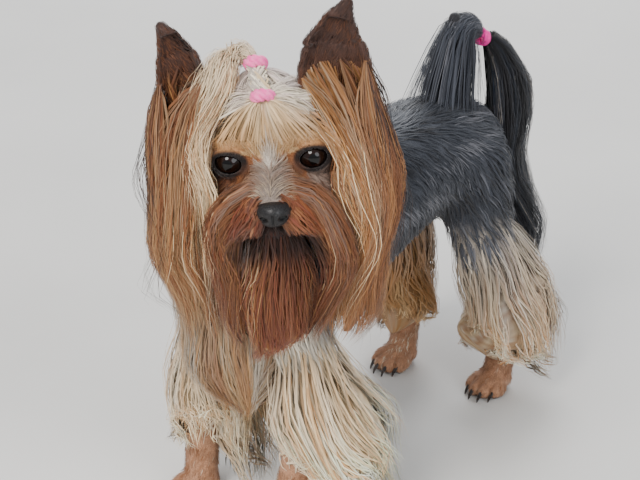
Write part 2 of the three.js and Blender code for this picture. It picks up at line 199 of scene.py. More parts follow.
def limb_table():
    """Every limb as (name, across, blend, cap, stations) in the dog's frame."""
    x = X_AXIS
    heads = [
        ("crown", x, 5, 1.0, ((0, 20, 9, 26, 22), (0, 31, 8, 25.5, 22))),
        ("nape", x, 6, 0.9, ((0, 30, -2, 21, 20), (0, 42, -4, 19, 19))),
        ("face", x, 5, 0.72, ((0, 12.9, -3, 30, 20), (0, 13.1, -3, 30, 20))),
        ("face", x, 5, 1.0, ((-24, 7.5, 8.5, 4.5, 4), (-10, 3.5, 10, 5, 4))),
        ("face", x, 5, 1.0, ((24, 7.5, 8.5, 4.5, 4), (10, 3.5, 10, 5, 4))),
        ("face", x, 6, 1.0, ((-19, 7, -14, 9, 9), (-20, 15, -17, 10, 10))),
        ("face", x, 6, 1.0, ((19, 7, -14, 9, 9), (20, 15, -17, 10, 10))),
        ("muzzle", x, 5, 0.5, ((0, 6, -10, 17, 12), (0, -8, -13, 15, 10.5), (0, -18, -15.5, 13, 9),
                               (1, -25, -16, 9.5, 7))),
        ("jaw", x, 1.6, 0.6, ((0, 12, -27, 13, 7.5), (0, -4, -28.5, 11, 6.5), (0, -15, -28, 9, 5.5),
                              (0.5, -21, -26.5, 6, 4))),
        ("ear_left", EAR_ACROSS["ear_left"], 4, 0.6, EAR_LEFT),
        ("ear_right", EAR_ACROSS["ear_right"], 4, 0.6, EAR_RIGHT),
    ]
    table = []
    for name, across, soft, cap, stations in heads:
        at = np.array(stations, float)
        at[:, :3] = on_head(at[:, :3])
        table.append((name, np.array(across) @ HEAD, soft, cap, at))
    bodies = [
        ("trunk", x, 6, 0.4, ((0, -24, 139, 15, 18), (0, -8, 140, 31, 38), (0, 22, 139, 38.5, 47.5),
                              (0, 52, 141, 40.5, 46), (0, 80, 147, 39, 40), (0, 106, 151, 37.5, 36.5),
                              (0, 132, 153, 35.5, 33), (0, 162, 151, 35.5, 32), (0, 188, 146, 33.5, 31),
                              (0, 202, 142, 25.5, 25))),
        ("neck", x, 9, 0.8, ((0, 32, 152, 30, 28), (3, 24, 174, 26, 25), (8, 17, 196, 23, 24),
                             (14, 8, 214, 19, 20))),
        ("tail", x, 6, 1.0, ((0, 176, 164, 9, 12), (0, 182, 190, 6, 8), (0, 185, 212, 4.5, 5.5),
                             (0, 186, 226, 3, 3.5))),
    ]
    for name, stations in legs().items():
        bodies.append((name, x, 7, 0.8, stations))
        fx, fy = FEET[name][0]
        bodies.append(("paw_" + name, x, 2.5, 1.0, ((fx, fy - 4, 6.3, 9.6, 7.2), (fx, fy + 4, 6.5, 9.4, 7.4))))
        for dx, dy in TOES:
            bodies.append(("paw_" + name, x, 1.1, 1.0, ((fx + dx, fy + dy + 3, 5.2, 3.8, 4.9),
                                                        (fx + dx * 1.03, fy + dy - 2.6, 4.1, 3.8, 4.2))))
    return table + [(n, np.array(a, float), k, c, np.array(s, float)) for n, a, k, c, s in bodies]


LIMBS = limb_table()
HEAD_SPACE = HEAD_AT - (62, 50, 30), HEAD_AT + (50, 70, 78)
LIMB_NAMES = [limb[0] for limb in LIMBS]


def segment_distance(p, a, b, across, cap):
    """Distance to a tapered bar of elliptical section: the length of the offset from the nearest point of
    its axis, less that length divided by the offset measured in radii."""
    along = b[:3] - a[:3]
    t = np.clip((p - a[:3]) @ along / (along @ along), 0, 1)
    q = p - a[:3] - t[..., None] * along
    ahead = unit(along)
    wide = unit(across - (across @ ahead) * ahead)
    deep = np.cross(ahead, wide)
    w = a[3] + (b[3] - a[3]) * t
    d = a[4] + (b[4] - a[4]) * t
    k = np.sqrt((q @ wide / w) ** 2 + (q @ deep / d) ** 2 + (q @ ahead / (cap * np.minimum(w, d))) ** 2)
    far = np.linalg.norm(q, axis=-1)
    return far - far / np.maximum(k, 1e-4)


def soften(a, b, k):
    """The lesser of two distances, rounded where they meet over a width k."""
    h = np.maximum(k - np.abs(a - b), 0) / k
    return np.minimum(a, b) - h * h * k / 4


def limb_distance(p, limb):
    """Distance to a chain of tapered bars run softly together."""
    _, across, _, cap, at = limb
    found = np.full(p.shape[:-1], 60.0)
    for i in range(len(at) - 1):
        found = soften(found, segment_distance(p, at[i], at[i + 1], across, cap), 1.5)
    return found


def ear_hollow(p, name, stations):
    """Distance to the leaf that is hollowed out of an ear: the ear's own leaf moved ahead and narrowed."""
    at = np.array(stations, float)
    at[:, 1] -= 4.4
    at[:, 2] += 2
    at[:, 3] = np.maximum(at[:, 3] - 2.4, 0.4)
    at[:, 4] += 1.6
    at = at[:-1]
    at[:, :3] = on_head(at[:, :3])
    return limb_distance(p, (name, np.array(EAR_ACROSS[name]) @ HEAD, 0, 0.3, at))


def eye_parts(p, side):
    """Distances to one eye's socket and to its lids: the lids are a band on the ball, from an elliptical
    opening out to the brow, and 1 mm thick to either side."""
    q = (to_head(p) - EYE_AT * (side, 1, 1)) * (side, 1, 1)
    gaze, right, up = basis_of(GAZE)
    ahead, u, v = q @ gaze, q @ right, q @ up
    far = np.linalg.norm(q, axis=-1)
    ring = np.hypot(u / LID_WIDE, (v + 0.06 * u) / LID_HIGH) - LID_OPENING
    ring = ring - np.clip(ring, 0, 3.2)
    lids = np.hypot(ring, (far - EYE_RADIUS - 0.5) * 1.15) - 1.0
    return far - EYE_RADIUS - 0.15, np.where(ahead > 0, lids, 20)


def carve(d, p):
    """Hollows the ears, adds the lids and cuts the eye sockets."""
    for name, stations in (("ear_left", EAR_LEFT), ("ear_right", EAR_RIGHT)):
        d = -soften(-d, ear_hollow(p, name, stations), 1.2)
    for side in (1, -1):
        socket, lids = eye_parts(p, side)
        d = -soften(-soften(d, lids, 1.6), socket, 0.5)
    return d


def around(limb):
    """The lowest and highest corners of the space where a limb is worked out."""
    at = limb[4]
    reach = at[:, 3:].max() + 9
    return at[:, :3].min(0) - reach, at[:, :3].max(0) + reach


def field(p):
    """Signed distance to the skin at a list of points: the limbs run together, then carved."""
    d = np.full(len(p), FAR_OUT)
    for limb in LIMBS:
        low, high = around(limb)
        on = ((p > low) & (p < high)).all(-1)
        d[on] = soften(d[on], limb_distance(p[on], limb), limb[2])
    on = ((p > HEAD_SPACE[0]) & (p < HEAD_SPACE[1])).all(-1)
    d[on] = carve(d[on], p[on])
    return np.maximum(d, SOLE - p[:, 2])


def slope(p, value=None, step=0.35):
    """Outward unit normals of the distance field by differences over a small step."""
    value = field(p) if value is None else value
    rise = [field(p + np.eye(3)[i] * step) - value for i in range(3)]
    return unit(np.stack(rise, -1))


def axis_points(low, high, dense):
    """Points along one axis, close together between the two `dense` places."""
    stops = [low, max(dense[0], low), min(dense[1], high), high]
    runs = [np.arange(stops[0], stops[1], COARSE_CELL), np.arange(stops[1], stops[2], FINE_CELL),
            np.arange(stops[2], stops[3] + COARSE_CELL, COARSE_CELL)]
    return np.unique(np.concatenate(runs).round(3))


def sample_field(axes):
    """The field on a box grid, where each limb is worked out only in its own neighbourhood."""
    grid = np.full([len(a) for a in axes], FAR_OUT)

    def part(space):
        cut = tuple(slice(*np.searchsorted(a, ends)) for a, ends in zip(axes, zip(*space)))
        return cut, np.stack(np.meshgrid(*[a[c] for a, c in zip(axes, cut)], indexing="ij"), -1)

    for limb in LIMBS:
        cut, p = part(around(limb))
        grid[cut] = soften(grid[cut], limb_distance(p, limb), limb[2])
    cut, p = part(HEAD_SPACE)
    grid[cut] = carve(grid[cut], p)
    return np.maximum(grid, SOLE - axes[2]).astype(np.float32)


def net_surface(axes, grid):
    """Quads around the zero level: one vertex for each mixed cell, one face for each crossed grid edge."""
    inside = grid < 0
    shape = np.array(inside.shape) - 1
    total = np.zeros(shape, np.int8)
    for i in (0, 1):
        for j in (0, 1):
            for k in (0, 1):
                total += inside[i:i + shape[0], j:j + shape[1], k:k + shape[2]]
    mixed = (total > 0) & (total < 8)
    number = np.full(shape, -1)
    cells = np.argwhere(mixed)
    number[mixed] = np.arange(len(cells))
    spots = cols(*[(a[c] + a[c + 1]) / 2 for a, c in zip(axes, cells.T)])
    faces = []
    for axis in range(3):
        i, j, k = (np.eye(3, dtype=int)[(axis + step) % 3] for step in range(3))
        size = np.array(inside.shape) - i
        a = inside[:size[0], :size[1], :size[2]]
        b = inside[i[0]:, i[1]:, i[2]:]
        for change, flip in ((a & ~b, False), (~a & b, True)):
            at = np.argwhere(change)
            at = at[(at[:, j.argmax()] > 0) & (at[:, k.argmax()] > 0)]
            at = at[(at[:, j.argmax()] < shape[j.argmax()]) & (at[:, k.argmax()] < shape[k.argmax()])]
            ring = [number[tuple((at - o).T)] for o in (j + k, k, 0 * k, j)]
            faces.append(np.stack(ring[::-1] if flip else ring, -1))
    return spots, np.concatenate(faces)


class Skin:
    """The skin's mesh as arrays, and the grid that hair is kept out of."""

    def __init__(self):
        low, high = (np.array(c) * 1000 + MIDDLE for c in CAD_BOX)
        axes = [axis_points(low[0] - 2, high[0] + 2, (-26, 76)),
                axis_points(low[1] - 2, high[1] + 2, (-58, 42)),
                axis_points(-1.7, high[2] + 2, (183, 295))]
        self.axes, self.grid = axes, sample_field(axes)
        spots, faces = net_surface(axes, self.grid)
        for _ in range(2):
            value = field(spots)
            spots = spots - slope(spots, value) * np.clip(value, -2, 2)[:, None]
            spots = relaxed(spots, faces, 0.5)
        value = field(spots)
        self.normals = slope(spots, value)
        spots = spots - self.normals * np.clip(value, -1, 1)[:, None]
        spots[:, 2] = np.where(spots[:, 2] > SOLE + 0.15, spots[:, 2], SOLE)
        self.spots, self.faces = spots, faces
        reach = np.full((len(LIMBS), len(spots)), 99.0)
        for i, limb in enumerate(LIMBS):
            low, high = around(limb)
            on = ((spots > low) & (spots < high)).all(-1)
            reach[i, on] = limb_distance(spots[on], limb)
        self.limb = np.array(LIMB_NAMES)[reach.argmin(0)]
        a, b, c, d = (spots[faces[:, i]] for i in range(4))
        size = np.linalg.norm(np.cross(c - a, d - b), axis=1) / 8
        self.area = sum(np.bincount(faces[:, i], size, len(spots)) for i in range(4))
        self.uv = np.full((len(spots), 2), 0.5)

    def roots(self, rng, count, names, where=None):
        """Vertices drawn by area from the named limbs, thinned by where(points)."""
        weight = self.area * np.isin(self.limb, names)
        if where is not None:
            weight = weight * where(self.spots)
        return rng.choice(len(weight), count, p=weight / weight.sum())

    def ground(self, roots):
        """The markings' colours at roots, with their painted shade."""
        return markings_and_shade(self.spots[roots], self.limb[roots])

    def nearest(self, targets, names, where=None):
        """The vertex of the named limbs that is nearest to each target."""
        on = np.isin(self.limb, names)
        if where is not None:
            on &= where(self.spots) > 0.5
        pool = np.flatnonzero(on)
        pool = pool[::max(1, len(pool) // 7000)]
        q = self.spots[pool]
        blocks = np.array_split(targets, len(targets) // 800 + 1)
        return pool[np.concatenate([((q * q).sum(1) - 2 * block @ q.T).argmin(1) for block in blocks])]

    def away(self, p, clearance, rounds=2):
        """Moves points out of the skin until they are at least `clearance` from it."""
        for _ in range(rounds):
            value, lean = self.probe(p)
            p = p + lean * np.maximum(clearance - value, 0)[..., None]
        return p

    def probe(self, p):
        """Distance and outward direction at points by linear interpolation of the grid."""
        def read(q):
            cell, part = [], []
            for axis, points in enumerate(self.axes):
                x = np.clip(q[..., axis], points[0], points[-2])
                i = np.clip(np.searchsorted(points, x, side="right") - 1, 0, len(points) - 2)
                cell.append(i)
                part.append((x - points[i]) / (points[i + 1] - points[i]))
            out = 0
            for corner in range(8):
                pick = [(corner >> a) & 1 for a in range(3)]
                weight = np.prod([part[a] if pick[a] else 1 - part[a] for a in range(3)], axis=0)
                out = out + weight * self.grid[cell[0] + pick[0], cell[1] + pick[1], cell[2] + pick[2]]
            return out
        here = read(p)
        lean = np.stack([read(p + np.eye(3)[i] * 1.2) - read(p - np.eye(3)[i] * 1.2) for i in range(3)], -1)
        return here, unit(lean)


def relaxed(spots, faces, share):
    """Each vertex moved part of the way to the mean of its neighbours along face edges."""
    total, count = np.zeros_like(spots), np.zeros(len(spots))
    for i in range(4):
        for j in ((i + 1) % 4, (i + 3) % 4):
            for axis in range(3):
                total[:, axis] += np.bincount(faces[:, i], spots[faces[:, j], axis], len(spots))
            count += np.bincount(faces[:, i], minlength=len(spots))
    return spots + (total / np.maximum(count, 1)[:, None] - spots) * share


# ---------------------------------------------------------------- markings and painted shade

PALETTE = {name: tint(code) for name, code in {
    "steel": "353840", "black": "1b1a1e", "silver": "b5a99c", "ash": "6c6c72", "cream": "eadcc4",
    "pearl": "dccabf", "gold": "b07c48", "sand": "b08c62", "tan": "8c5631", "blond": "e2c79e", "brown": "583420",
    "rust": "7a3c25", "deep": "22100b", "ear": "3c261e", "grey": "84766c", "paw": "a97c5e", "pad": "2a2422",
}.items()}


def stain_and_shade(p, colour):
    """Colours darkened in an arched band under the upper lip, which fades down the chin: partly the mouth's own
    stained hair and lips, partly painted shade under the moustache.
    """
    q = to_head(p)
    z = q[:, 2] + 0.011 * q[:, 0] ** 2
    band = smooth(-28, -31, z) * smooth(-45, -37, z) * smooth(27, 21, np.abs(q[:, 0])) * smooth(0, -6, q[:, 1])
    return blend(colour, PALETTE["deep"] * (0.8, 0.45, 0.4), band * 0.85)


def eye_gap(q):
    """How far aside of the nearer eye's gaze head-local points are, measured as an ellipse that is wider than
    high. Points behind the eyes count as farther, and those in a socket as none."""
    found = []
    for side in (1, -1):
        d = q - EYE_AT * (side, 1, 1)
        ring = np.hypot((d[:, 0] + GAZE[0] * side * d[:, 1]) / LID_WIDE, (d[:, 2] + GAZE[2] * d[:, 1]) / LID_HIGH)
        found.append((ring + 2 * np.maximum(d[:, 1] - 4, 0)) * (np.linalg.norm(d, axis=1) > EYE_RADIUS + 0.6))
    return np.minimum(*found)


def bib(p):
    """Share of the pale bib at points of trunk and legs: it grows toward the chest and fades up the neck."""
    return smooth(14, -10, p[:, 1]) * smooth(196, 160, p[:, 2])


def markings_and_shade(p, limb):
    """Coat colour at points: each limb has its ground colour, blended over its neighbours by place. The right
    cheek, the inner corners of the eyes and the mouth are also darkened, in part as painted shade.
    """
    q = to_head(p)
    c = PALETTE
    out = np.tile(c["steel"], (len(p), 1))
    belly = smooth(135, 108, p[:, 2]) * smooth(30, 60, p[:, 1])
    out = blend(out, c["grey"] * 0.8, belly)
    front = bib(p)
    out = blend(out, c["cream"] * 0.85, front)
    neck = limb == "neck"
    out[neck] = blend(c["tan"], c["brown"] * 0.7, smooth(20, 45, p[neck, 1]))
    for name in FEET:
        on = limb == name
        z = p[on, 2]
        if name.startswith("fore"):
            shade = blend(c["gold"] * 0.85, c["cream"], smooth(112, 80, z))
            shade = blend(blend(c["steel"], c["cream"] * 0.85, front[on]), shade, smooth(130, 108, z))
        else:
            low = c["cream"] if name == "hind_left" else c["gold"]
            shade = blend(c["steel"], blend(c["silver"], low, smooth(104, 84, z)), smooth(124, 104, z))
        out[on] = blend(shade, c["paw"], smooth(64, 46, z))
        on = limb == "paw_" + name
        out[on] = blend(c["paw"], c["pad"], smooth(2.2, 0.9, p[on, 2]))
    out[limb == "tail"] = c["black"] * 1.3
    crown = np.isin(limb, ("crown", "nape"))
    out[crown] = blend(c["sand"], c["pearl"] * 0.9, smooth(4, 20, q[crown, 1]))
    out[crown] = blend(out[crown], c["brown"], smooth(30, 50, q[crown, 1]) * 0.7)
    face = limb == "face"
    cheek = blend(c["brown"], c["tan"] * 0.85, smooth(-10, 2, q[face, 2]))
    out[face] = blend(cheek, blend(c["sand"], c["gold"], 0.4), smooth(3, 12, q[face, 2]))
    low = smooth(4, -3, q[:, 2]) * face
    # painted shade: the lower right cheek is darkened toward brown
    out = blend(out, c["brown"], low * smooth(-10, -18, q[:, 0]) * 0.7)
    out = blend(out, c["silver"] * 0.8, low * smooth(12, 20, q[:, 0]) * 0.35)
    muzzle = limb == "muzzle"
    ridge = smooth(11, 4, np.abs(q[muzzle, 0])) * smooth(-16, -9, q[muzzle, 2])
    shade = blend(c["tan"] * 0.8, c["grey"] * 0.85, ridge)
    # the lower muzzle goes to the deep colour: partly the dark lips, partly painted shade of the mouth under the
    # moustache
    out[muzzle] = blend(shade, c["deep"], smooth(-19, -24, q[muzzle, 2]))
    jaw = limb == "jaw"
    # the top of the jaw goes to the deep colour: partly the dark lip, partly painted shade of the mouth
    out[jaw] = blend(c["rust"] * 0.7, c["deep"], smooth(-34, -26, q[jaw, 2]))
    head = np.isin(limb, ("face", "muzzle", "crown"))
    out = blend(out, c["deep"] * 0.4, smooth(9.8, 7.8, eye_gap(q)) * head)
    # painted shade: the inner corners of the eyes are darkened toward brown
    for side in (1, -1):
        inner = np.linalg.norm((q - (side * 11.5, -3, -4)) * (1, 1, 1.3), axis=1)
        out = blend(out, c["brown"] * 0.55, smooth(8, 2, inner) * head * 0.8)
    stop = np.linalg.norm((q - (-0.5, -3, 3.5)) * (1, 0.6, 0.7), axis=1)
    out = blend(out, c["silver"] * 0.95, smooth(5, 1.5, stop) * head)
    ears = np.char.startswith(limb.astype(str), "ear")
    out[ears] = blend(c["brown"] * 0.8, c["ear"], smooth(30, 46, q[ears, 2]))
    # the arched band at the mouth is darkened: partly stain, partly painted shade
    return stain_and_shade(p, out)


# ---------------------------------------------------------------- meshes

def make_object(name, spots, faces, material, colours=None, uv=None, vectors=None, normals=None):
    """A smooth mesh object in the model's frame from dog-frame points and faces of one or more sizes."""
    mesh = bpy.data.meshes.new(name)
    spots = placed(spots)
    blocks = faces if isinstance(faces, list) else [faces]
    loops = np.concatenate([b.ravel() for b in blocks]).astype(np.int32)
    sizes = np.concatenate([np.full(len(b), b.shape[1]) for b in blocks]).astype(np.int32)
    mesh.vertices.add(len(spots))
    mesh.vertices.foreach_set("co", spots.ravel().astype(np.float32))
    mesh.loops.add(len(loops))
    mesh.loops.foreach_set("vertex_index", loops)
    mesh.polygons.add(len(sizes))
    mesh.polygons.foreach_set("loop_start", np.concatenate([[0], sizes.cumsum()[:-1]]).astype(np.int32))
    mesh.polygons.foreach_set("loop_total", sizes)
    mesh.update(calc_edges=True)
    mesh.validate()
    mesh.shade_smooth()
    if normals is not None:
        mesh.normals_split_custom_set_from_vertices(normals)
    if colours is not None:
        layer = mesh.attributes.new("Coat", "FLOAT_COLOR", "POINT")
        layer.data.foreach_set("color", np.c_[colours, np.ones(len(colours))].ravel().astype(np.float32))
    if vectors is not None:
        layer = mesh.attributes.new("Strand", "FLOAT_VECTOR", "POINT")
        layer.data.foreach_set("vector", vectors.ravel().astype(np.float32))
    if uv is not None:
        layer = mesh.uv_layers.new(name="OFBake")
        layer.uv.foreach_set("vector", uv.ravel().astype(np.float32))
    mesh.materials.append(material)
    thing = bpy.data.objects.new(name, mesh)
    bpy.context.scene.collection.objects.link(thing)
    return thing


def declared(thing, slot, *nodes):
    """The piece attached to the root body, with the nodes it stands for hidden; slot is not used."""
    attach(thing, "root")
    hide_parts(*nodes)
    return thing


def sheet_faces(rows, columns, wrap):
    """Quads of a grid of rows by columns of points, joined round the columns where wrap is set."""
    r, c = np.meshgrid(np.arange(rows - 1), np.arange(columns if wrap else columns - 1), indexing="ij")
    n = (c + 1) % columns
    return cols(r * columns + c, r * columns + n, (r + 1) * columns + n, (r + 1) * columns + c).reshape(-1, 4)


def tube_faces(rows, columns, flip=False, start=0):
    """Quads and both end caps of a closed tube of rows by columns of points, turned over by `flip`."""
    cap = np.arange(columns)[None, ::-1]
    blocks = [sheet_faces(rows, columns, True), cap, (rows - 1) * columns + cap[:, ::-1]]
    return [(block[:, ::-1] if flip else block) + start for block in blocks]


class Locks:
    """A gathering of hair locks that becomes one mesh of thin closed tubes, each a three-sided ring swept
    along its path and drawn to a point. The shading normals are the tube's own mixed with the coat's outward
    direction by the share `even`."""

    def __init__(self, skin, even=0.72):
        self.skin, self.parts, self.even = skin, [], even

    def add(self, paths, roots, width, root_colour, tip_colour, flat=0.5, taper=1.8, facing=None, fade=1.0):
        """Paths of shape (n, k, 3) with the index of the skin vertex each starts from. Paths that would pass
        before an eye are left out, and no path goes lower than LOWEST_HAIR over the floor."""
        on = (eye_gap(to_head(paths.reshape(-1, 3))).reshape(paths.shape[:2]) > 8.2).all(1)
        width = np.broadcast_to(width, len(paths))[on]
        facing = None if facing is None else facing[on]
        paths = np.maximum(paths[on], (-np.inf, -np.inf, LOWEST_HAIR))
        self.parts.append((paths, roots[on], width, root_colour[on], tip_colour[on], flat, taper, facing, fade))

    def build(self, name, material, seed):
        rng = np.random.default_rng(seed)
        spots, faces, tris, colours, vectors, uvs, tri_uvs, normals = [], [], [], [], [], [], [], []
        start = 0
        for paths, roots, width, root_colour, tip_colour, flat, taper, facing, fade in self.parts:
            n, k, _ = paths.shape
            along = np.linspace(0, 1, k)
            ahead = unit(np.gradient(paths, axis=1))
            up = self.skin.normals[roots][:, None] if facing is None else facing
            side = unit(np.cross(ahead, up))
            lift = np.cross(side, ahead)
            swell = (0.45 + 0.55 * np.minimum(along / 0.25, 1)) * (1 - along ** taper * 0.96)
            w = width[:, None, None] * swell[None, :, None]
            angle = np.radians([90, 210, 330])
            ring = (paths[:, :-1, None] + (side * w)[:, :-1, None] * np.cos(angle)[:, None]
                    + (lift * w * flat)[:, :-1, None] * np.sin(angle)[:, None])
            count = 3 * (k - 1) + 1
            outward = np.broadcast_to(unit(up), paths.shape)
            round_way = side[:, :-1, None] * np.cos(angle)[:, None] + lift[:, :-1, None] * np.sin(angle)[:, None]
            shade = unit(round_way * (1 - self.even) + outward[:, :-1, None] * self.even)
            normals.append(np.concatenate([shade.reshape(n, -1, 3), outward[:, -1:]], 1).reshape(-1, 3))
            spots.append(np.concatenate([ring.reshape(n, -1, 3), paths[:, -1:]], 1).reshape(-1, 3))
            r, j = np.meshgrid(np.arange(k - 2), np.arange(3), indexing="ij")
            m = (j + 1) % 3
            quad = cols(r * 3 + j, (r + 1) * 3 + j, (r + 1) * 3 + m, r * 3 + m).reshape(-1, 4)
            j = np.arange(3)
            tri = cols((k - 2) * 3 + j, count - 1, (k - 2) * 3 + (j + 1) % 3)
            tri = np.concatenate([tri, [[0, 1, 2]]])
            shift = start + np.arange(n)[:, None, None] * count
            faces.append((quad[None] + shift).reshape(-1, 4))
            tris.append((tri[None] + shift).reshape(-1, 3))
            start += n * count
            part = np.append(np.repeat(along[:-1], 3), 1.0)
            tone = blend(np.repeat(root_colour, count, 0), np.repeat(tip_colour, count, 0),
                         np.tile(part ** fade, n))
            # the mouth's stain and painted shade are laid over the lock colours
            colours.append(np.minimum(stain_and_shade(spots[-1], tone), BRIGHTEST))
            length = np.linalg.norm(np.diff(paths, axis=1), axis=-1).sum(1)
            across = np.append(np.tile([0.0, 1.0, -1.0], k - 1), 0.0)
            tone = rng.random(n)
            vectors.append(cols(tone[:, None] * 97 + across[None] * width[:, None],
                                part[None] * length[:, None] * 0.1, tone[:, None]).reshape(-1, 3))
            at = self.skin.uv[roots]
            r, j = np.divmod(np.arange(len(quad)), 3)
            corner = np.stack([cols(r, j), cols(r + 1, j), cols(r + 1, j + 1), cols(r, j + 1)], 1) / (k - 1, 3)
            uvs.append((at[:, None, None] + (corner[None] - 0.5) * PATCH).reshape(-1, 2))
            j = np.arange(3)
            end = np.stack([cols(k - 2, j), cols(k - 1, j + 0.5), cols(k - 2, j + 1)], 1) / (k - 1, 3)
            end = np.concatenate([end, [[[-0.2, 0], [-0.2, 1], [0, 0.5]]]])
            tri_uvs.append((at[:, None, None] + (end[None] - 0.5) * PATCH).reshape(-1, 2))
        uv = np.clip(np.concatenate(uvs + tri_uvs), 0, 1)
        return make_object(name, np.concatenate(spots), [np.concatenate(faces), np.concatenate(tris)], material,
                           np.concatenate(colours), uv, np.concatenate(vectors), np.concatenate(normals))


# ---------------------------------------------------------------- materials

class Graph:
    """Adds nodes to a tree: sockets are given by name with spaces as underscores, or by number as _0."""

    def __init__(self, tree):
        self.tree = tree

    def add(self, kind, settings=None, **sockets):
        node = self.tree.nodes.new(kind)
        for key, value in (settings or {}).items():
            setattr(node, key, value)
        for key, value in sockets.items():
            socket = node.inputs[int(key[1:])] if key[1:].isdigit() else node.inputs[key.replace("_", " ")]
            if isinstance(value, bpy.types.NodeSocket):
                self.tree.links.new(value, socket)
            else:
                socket.default_value = value
        return node.outputs

    def math(self, operation, *values):
        return self.add("ShaderNodeMath", {"operation": operation},
                        **{f"_{i}": v for i, v in enumerate(values)})[0]

    def ramp(self, value, low, high, start=0.0, end=1.0):
        return self.add("ShaderNodeMapRange", {"interpolation_type": "SMOOTHSTEP"}, _0=value, _1=low, _2=high,
                        _3=start, _4=end)[0]

    def tinted(self, weight, a, b, mode="MIX"):
        return self.add("ShaderNodeMix", {"data_type": "RGBA", "blend_type": mode}, _0=weight, _6=a, _7=b)[2]

    def noise(self, vector, scale, detail=3.0):
        return self.add("ShaderNodeTexNoise", None, Vector=vector, Scale=scale, Detail=detail)[0]

    def attribute(self, name, kind):
        return self.add("ShaderNodeAttribute", {"attribute_name": name})[kind]

    def grey(self, value):
        return self.add("ShaderNodeCombineXYZ", None, _0=value, _1=value, _2=value)[0]

    def bump(self, height, strength, distance):
        return self.add("ShaderNodeBump", None, Strength=strength, Distance=distance, Height=height)[0]

    def feed(self, node, **values):
        for key, value in values.items():
            self.tree.links.new(value, node.inputs[key.replace("_", " ")])


def colour4(rgb):
    """A socket's colour from three linear values."""
    return (*[float(c) for c in rgb], 1.0)


def rgba(code):
    """A socket's colour from a hexadecimal code."""
    return colour4(tint(code))


def strand_group():
    """Hair colour and bump from the two mesh attributes: streaks of stretched noise run along each lock, and
    each lock is a little lighter or darker than the next."""
    if "Strand shade" in bpy.data.node_groups:
        return bpy.data.node_groups["Strand shade"]
    tree = bpy.data.node_groups.new("Strand shade", "ShaderNodeTree")
    for name, kind in (("Streak", "NodeSocketFloat"), ("Spread", "NodeSocketFloat")):
        tree.interface.new_socket(name, in_out="INPUT", socket_type=kind)
    for name, kind in (("Colour", "NodeSocketColor"), ("Rough", "NodeSocketFloat"),
                       ("Normal", "NodeSocketVector")):
        tree.interface.new_socket(name, in_out="OUTPUT", socket_type=kind)
    g = Graph(tree)
    given, out = g.add("NodeGroupInput"), tree.nodes.new("NodeGroupOutput")
    coat, strand = g.attribute("Coat", "Color"), g.attribute("Strand", "Vector")
    stretched = g.add("ShaderNodeVectorMath", {"operation": "MULTIPLY"}, _0=strand, _1=(1.3, 0.5, 1.0))[0]
    streak = g.noise(stretched, 1.0)
    tone = g.add("ShaderNodeSeparateXYZ", None, _0=strand)["Z"]
    shade = g.math("MULTIPLY_ADD", g.math("SUBTRACT", streak, 0.5), given["Streak"], 1.0)
    shade = g.math("MULTIPLY", shade, g.math("MULTIPLY_ADD", g.math("SUBTRACT", tone, 0.5), given["Spread"], 1.0))
    g.feed(out, Colour=g.tinted(1.0, coat, g.grey(shade), "MULTIPLY"), Rough=g.ramp(streak, 0.3, 0.7, 0.62, 0.42),
           Normal=g.bump(streak, 0.25, 0.0003))
    return tree


def new_material(name, **constants):
    """A Principled material whose even values are set on its own sockets."""
    material = bpy.data.materials.new(name)
    material.use_nodes = True
    material.node_tree.nodes.clear()
    g = Graph(material.node_tree)
    shader = material.node_tree.nodes.new("ShaderNodeBsdfPrincipled")
    out = material.node_tree.nodes.new("ShaderNodeOutputMaterial")
    material.node_tree.links.new(shader.outputs[0], out.inputs[0])
    for key, value in constants.items():
        shader.inputs[key.replace("_", " ")].default_value = value
    return material, g, shader


def hair_material(name, streak, spread):
    """Hair of the colours its mesh holds, streaked along and varied from lock to lock."""
    material, g, shader = new_material(name, Specular_IOR_Level=0.34, Sheen_Weight=0.1, Sheen_Roughness=0.5)
    group = g.add("ShaderNodeGroup", {"node_tree": strand_group()}, Streak=streak, Spread=spread)
    g.feed(shader, Base_Color=group["Colour"], Roughness=group["Rough"], Normal=group["Normal"])
    return material


def skin_material():
    """Markings, with their painted shade, over the skin with fine down: noise in the object's space lightens and
    lifts it.
    """
    material, g, shader = new_material("Skin and down", Specular_IOR_Level=0.25, Sheen_Weight=0.15)
    place = g.add("ShaderNodeTexCoord")["Object"]
    down = g.noise(place, 1400.0, 4.0)
    patch = g.noise(place, 160.0)
    shade = g.math("MULTIPLY", g.ramp(down, 0.25, 0.75, 0.7, 1.25), g.ramp(patch, 0.3, 0.7, 0.88, 1.1))
    g.feed(shader, Base_Color=g.tinted(1.0, g.attribute("Coat", "Color"), g.grey(shade), "MULTIPLY"),
           Roughness=g.ramp(down, 0.3, 0.7, 0.75, 0.55), Normal=g.bump(down, 0.5, 0.0004))
    return material


def eye_material(iris, pupil):
    """Iris and pupil by the distance from the gaze (Strand.x, in mm); fibres are noise stretched outward."""
    material, g, shader = new_material("Eye", Roughness=0.03, Specular_IOR_Level=0.32)
    out, turn_x, turn_y = g.add("ShaderNodeSeparateXYZ", None, _0=g.attribute("Strand", "Vector"))[:]
    fibre = g.noise(g.add("ShaderNodeCombineXYZ", None, _0=g.math("MULTIPLY", turn_x, 14.0),
                          _1=g.math("MULTIPLY", turn_y, 14.0), _2=g.math("MULTIPLY", out, 0.35))[0], 1.0, 4.0)
    colour = g.tinted(g.ramp(fibre, 0.35, 0.65), rgba("0e0604"), colour4(iris))
    colour = g.tinted(g.ramp(out, 2.2, 5.2), rgba("1c0b06"), colour)
    colour = g.tinted(g.ramp(out, pupil - 0.25, pupil + 0.35), rgba("050404"), colour)
    g.feed(shader, Base_Color=g.tinted(g.ramp(out, 5.3, 6.2), colour, rgba("120b09")))
    return material


